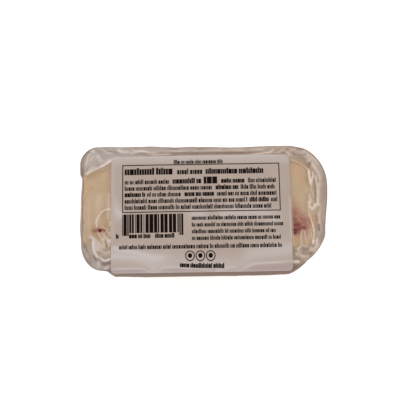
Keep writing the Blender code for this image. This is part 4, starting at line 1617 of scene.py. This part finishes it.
def cheese_finish():
    """Moist cream, tan where dried, pink by the cherries, with a little painted shade."""
    material, tree, shader = new_material("soft cheese", 0.5)
    mask, height = mottled(tree, 7.0, 0.7, 1.6)
    cream = blended(tree, mask, CREAM_DEEP, CREAM_LIGHT)
    dry_and_shaded = blended(tree, kept(tree, "tan"), cream, TAN)
    pink = kept(tree, "pink")
    juice_and_shade = blended(tree, pink, PINK_LIGHT, PINK_DEEP)
    joined(tree, shader, blended(tree, pink, dry_and_shaded, juice_and_shade), bumped(tree, height, 0.35, 0.12))
    return material


def cherry_finish():
    """Dark red dried cherry with a moist shine."""
    material, tree, shader = new_material("cherry", 0.6, mirror=0.1)
    mask, height = mottled(tree, 2.4, 0.5, 2.6)
    red = blended(tree, mask, CHERRY_DARK, CHERRY_RED)
    joined(tree, shader, red, bumped(tree, height, 0.5, 0.15))
    return material


cheese.data.materials.clear()
cheese.data.materials.append(cheese_finish())
bits = make_cherries(cherry_finish())
print("finishes so far:", [material.name for material in bpy.data.materials])

# %% [markdown]
# ## The finish of the film
# Clear film is seen only by what it does to the light: it mirrors at a slant, and it is
# pale where it is pinched. Its dusky flanks and hollows, and the dusky front, are painted
# shade, and part of the pale along its crests is a painted highlight. Real refraction would
# need two skins and many light bounces. So the film mixes a clear shader with a pale
# plastic by the milkiness kept on the mesh, colours the plastic by the tone kept there,
# from painted shade to pale, and lays a gloss over both that grows with the angle.

# %% The film
# The painted shade, and the pale that is partly a painted highlight, at the left end and at
# the right end, where the film looks a little warmer
FILM_SHADE, FILM_SHADE_RIGHT = linear(117, 97, 87), linear(115, 89, 74)
FILM_PALE_AND_HIGHLIGHT, FILM_PALE_AND_HIGHLIGHT_RIGHT = linear(234, 222, 214), linear(234, 216, 200)
FILM_CREAM = linear(238, 212, 186)  # the pale tone where the film is only half milky
HALF_MILKY, ALL_MILKY = 0.5, 0.85
WARMTH_RUNS = 40 * MM
MIRROR_FACING, MIRROR_GRAZING = 0.016, 0.08


def film_body(tree, shader, mask, relief):
    """Pale plastic where the film is milky, and nothing but its light where it is clear."""
    white = add(tree, "ShaderNodeMapRange", {
        "Value": kept(tree, "milk"), "From Min": HALF_MILKY, "From Max": ALL_MILKY,
    }).outputs[0]
    place = add(tree, "ShaderNodeTexCoord").outputs["Object"]
    along = add(tree, "ShaderNodeSeparateXYZ", {"Vector": place}).outputs["X"]
    right = add(tree, "ShaderNodeMapRange", {
        "Value": along, "From Min": -WARMTH_RUNS, "From Max": WARMTH_RUNS,
    }).outputs[0]
    milky = blended(tree, right, FILM_PALE_AND_HIGHLIGHT, FILM_PALE_AND_HIGHLIGHT_RIGHT)
    painted_shade = blended(tree, right, FILM_SHADE, FILM_SHADE_RIGHT)
    pale = blended(tree, white, FILM_CREAM, milky)
    joined(tree, shader, blended(tree, kept(tree, "shading_tone"), painted_shade, pale), relief)
    uneven = add(tree, "ShaderNodeMath", {0: mask, 1: 0.6}, operation="ADD")
    milk = add(tree, "ShaderNodeMath", {0: kept(tree, "milk"), 1: uneven.outputs[0]},
               operation="MULTIPLY", use_clamp=True)
    clear = add(tree, "ShaderNodeBsdfTransparent")
    return add(tree, "ShaderNodeMixShader", {
        0: milk.outputs[0], 1: clear.outputs[0], 2: shader.outputs[0],
    }).outputs[0]


def film_finish():
    """The film's body under a gloss that is stronger where it is seen at a slant."""
    material, tree, shader = new_material("clear film", 0.35, mirror=0.0)
    mask, height = mottled(tree, 5.0, 1.1, 1.0)
    relief = bumped(tree, height, 0.25, 0.12)
    body = film_body(tree, shader, mask, relief)
    gloss = add(tree, "ShaderNodeBsdfGlossy", {
        "Roughness": 0.2, "Normal": relief, "Color": (1, 1, 1, 1),
    })
    facing = add(tree, "ShaderNodeLayerWeight", {"Blend": 0.5, "Normal": relief})
    grazing = add(tree, "ShaderNodeMath", {0: facing.outputs["Facing"], 1: 5.0},
                  operation="POWER")
    mirror = add(tree, "ShaderNodeMapRange", {
        "Value": grazing.outputs[0], "To Min": MIRROR_FACING, "To Max": MIRROR_GRAZING,
    })
    whole = add(tree, "ShaderNodeMixShader", {
        0: mirror.outputs[0], 1: body, 2: gloss.outputs[0],
    })
    tree.links.new(whole.outputs[0], tree.nodes["Material Output"].inputs["Surface"])
    return material


film.data.materials.clear()
film.data.materials.append(film_finish())
print("nodes in the film's finish:", len(film.data.materials[0].node_tree.nodes))

# %% [markdown]
# ## The finish of the paper and the ink
# The paper is white, but thin and damp, so the cheese behind it tints it. Making it let
# light through would cost time for a tint that noise gives as well. A soft highlight on its
# creases and edges is painted in and kept on the mesh, and the strip that is bent down is
# a little pinker. The ink is a brown black with no mirror image, as it is printed under the
# paper's own gloss.

# %% Paper and ink
PAPER_DEEP, PAPER_LIGHT = linear(169, 150, 138), linear(180, 162, 150)
# The second colour here is the painted highlight on the creases and edges
PAPER_STRIP, PAPER_PAINTED_SHEEN = linear(172, 152, 146), linear(198, 188, 184)
INK_DARK, INK_LIGHT = linear(16, 9, 7), linear(34, 24, 20)


def paper_finish():
    """White label, tinted by the cheese behind, with painted highlights on its creases."""
    material, tree, shader = new_material("label paper", 0.42)
    mask, height = mottled(tree, 16.0, 0.5, 1.3)
    base = blended(tree, mask, PAPER_DEEP, PAPER_LIGHT)
    strip = blended(tree, kept(tree, "strip"), base, PAPER_STRIP)
    bright = blended(tree, kept(tree, "painted_sheen"), strip, PAPER_PAINTED_SHEEN)
    joined(tree, shader, bright, bumped(tree, height, 0.12, 0.05))
    return material


def ink_finish():
    """Brown-black ink, a little uneven."""
    material, tree, shader = new_material("ink", 0.7, mirror=0.0)
    mask, _ = mottled(tree, 3.0, 0.4, 1.4)
    joined(tree, shader, blended(tree, mask, INK_DARK, INK_LIGHT))
    return material


label.data.materials.clear()
label.data.materials.append(paper_finish())
ink = make_print(label_marks, ink_finish())
print("finishes so far:", [material.name for material in bpy.data.materials])

# %% [markdown]
# ## What stands for what
# Every piece rides on the pack's one body. Film, cheese and cherries together stand for the
# solid pack, and the sheet and its print stand for the solid label.

# %% Onto the frame
for piece, slot, node in (
    (film, "film", "pack"), (cheese, "cheese", "pack"), (bits, "cherry", "pack"),
    (label, "label_paper", "label"), (ink, "label_print", "label"),
):
    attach(piece, "root")
    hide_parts(node)
    print(piece.name, "stands for", node)

# %% [markdown]
# ## Floor, lights and camera
# The pack is photographed on white under a very even light. A single lamp would throw one
# hard shadow, so white air lights it from all round, and three soft boxes low at the sides
# and the back draw the bright lines along the creases. The floor shines a little, which
# keeps it white and the shadow faint. The camera stands 400 mm away, almost straight above,
# 12 degrees towards the label's lower edge, and is turned one degree.

# %% The floor
FLOOR_REACH = 1.5
FLOOR_GREY, FLOOR_SHINE = 0.55, 0.66


def make_floor():
    """A wide pale square under the pack."""
    mesh = bpy.data.meshes.new("floor")
    corners = [(x * FLOOR_REACH, y * FLOOR_REACH, 0)
               for x, y in ((-1, -1), (1, -1), (1, 1), (-1, 1))]
    mesh.from_pydata(corners, [], [(0, 1, 2, 3)])
    floor = new_object("floor", mesh)
    material, _, shader = new_material("floor", 0.9)
    shader.inputs["Base Color"].default_value = (FLOOR_GREY, FLOOR_GREY, FLOOR_GREY, 1)
    shader.inputs["Emission Color"].default_value = (1, 1, 1, 1)
    shader.inputs["Emission Strength"].default_value = FLOOR_SHINE
    mesh.materials.append(material)
    print("floor:", 2 * FLOOR_REACH, "m wide")


make_floor()

# %% The lights
AIR_STRENGTH = 0.87
# Place in metres, length and height in metres, power in watts
SOFT_BOXES = {
    "left box": ((-0.62, 0.10, 0.22), (0.40, 0.08), 0.8),
    "right box": ((0.62, 0.05, 0.22), (0.40, 0.08), 0.8),
    "back box": ((0.00, 0.62, 0.22), (0.50, 0.08), 0.5),
}


def soft_box(name, place, size, power):
    """A bright rectangle that faces the middle of the label."""
    data = bpy.data.lights.new(name, "AREA")
    data.shape = "RECTANGLE"
    data.size, data.size_y = size
    data.energy = power
    light = new_object(name, data)
    light.location = place
    toward = Vector((0, 0, WEB_HEIGHT * MM)) - Vector(place)
    light.rotation_mode = "QUATERNION"
    light.rotation_quaternion = toward.to_track_quat("-Z", "Y")


for name, (place, size, power) in SOFT_BOXES.items():
    soft_box(name, place, size, power)

air = bpy.data.worlds.new("air")
bpy.context.scene.world = air
air.use_nodes = True
sky = air.node_tree.nodes["Background"]
sky.inputs["Color"].default_value = (1, 1, 1, 1)
sky.inputs["Strength"].default_value = AIR_STRENGTH
bpy.context.scene.view_settings.view_transform = "Standard"
print("soft boxes:", len(SOFT_BOXES))

# %% The camera
CAMERA_DISTANCE = 400.0
CAMERA_TILT = 12.32
CAMERA_TURN = 0.95
PICTURE = 400  # pixels along each side
PIXEL = 0.406  # millimetres on the label for one pixel
SENSOR = 36.0
LABEL_MIDDLE = np.array([-0.2, -1.55, WEB_HEIGHT])
LABEL_SHOWS_AT = (203.5, 211)  # pixels from the left and from the top


def make_camera():
    """Placed from the label's middle, and aimed at the point of the label's plane that shows
    in the middle of the picture."""
    tilt, turn = math.radians(CAMERA_TILT), math.radians(CAMERA_TURN)
    back = Vector((0, -math.sin(tilt), math.cos(tilt)))
    place = Vector(LABEL_MIDDLE) + back * CAMERA_DISTANCE
    right, up = Vector((1, 0, 0)), Vector((0, math.cos(tilt), math.sin(tilt)))
    across = (PICTURE / 2 - LABEL_SHOWS_AT[0]) * PIXEL
    above = (LABEL_SHOWS_AT[1] - PICTURE / 2) * PIXEL
    level = (across * math.cos(turn) + above * math.sin(turn),
             above * math.cos(turn) - across * math.sin(turn))
    aim = Vector(LABEL_MIDDLE) + right * level[0] + up * level[1]
    toward = (aim - place).normalized()
    data = bpy.data.cameras.new("camera")
    data.sensor_width = SENSOR
    data.lens = SENSOR * CAMERA_DISTANCE / (PICTURE * PIXEL)
    data.clip_start, data.clip_end = 0.01, 10
    camera = new_object("camera", data)
    camera.rotation_mode = "QUATERNION"
    level_right = toward.cross(up).normalized()
    level_up = level_right.cross(toward)
    turned_up = level_up * math.cos(turn) + level_right * math.sin(turn)
    turned_right = level_right * math.cos(turn) - level_up * math.sin(turn)
    axes = Matrix((turned_right, turned_up, -toward)).transposed()
    camera.rotation_quaternion = axes.to_quaternion()
    camera.location = place * MM
    bpy.context.scene.camera = camera
    print("camera:", round(data.lens), "mm lens at", [round(c) for c in place], "mm")


make_camera()
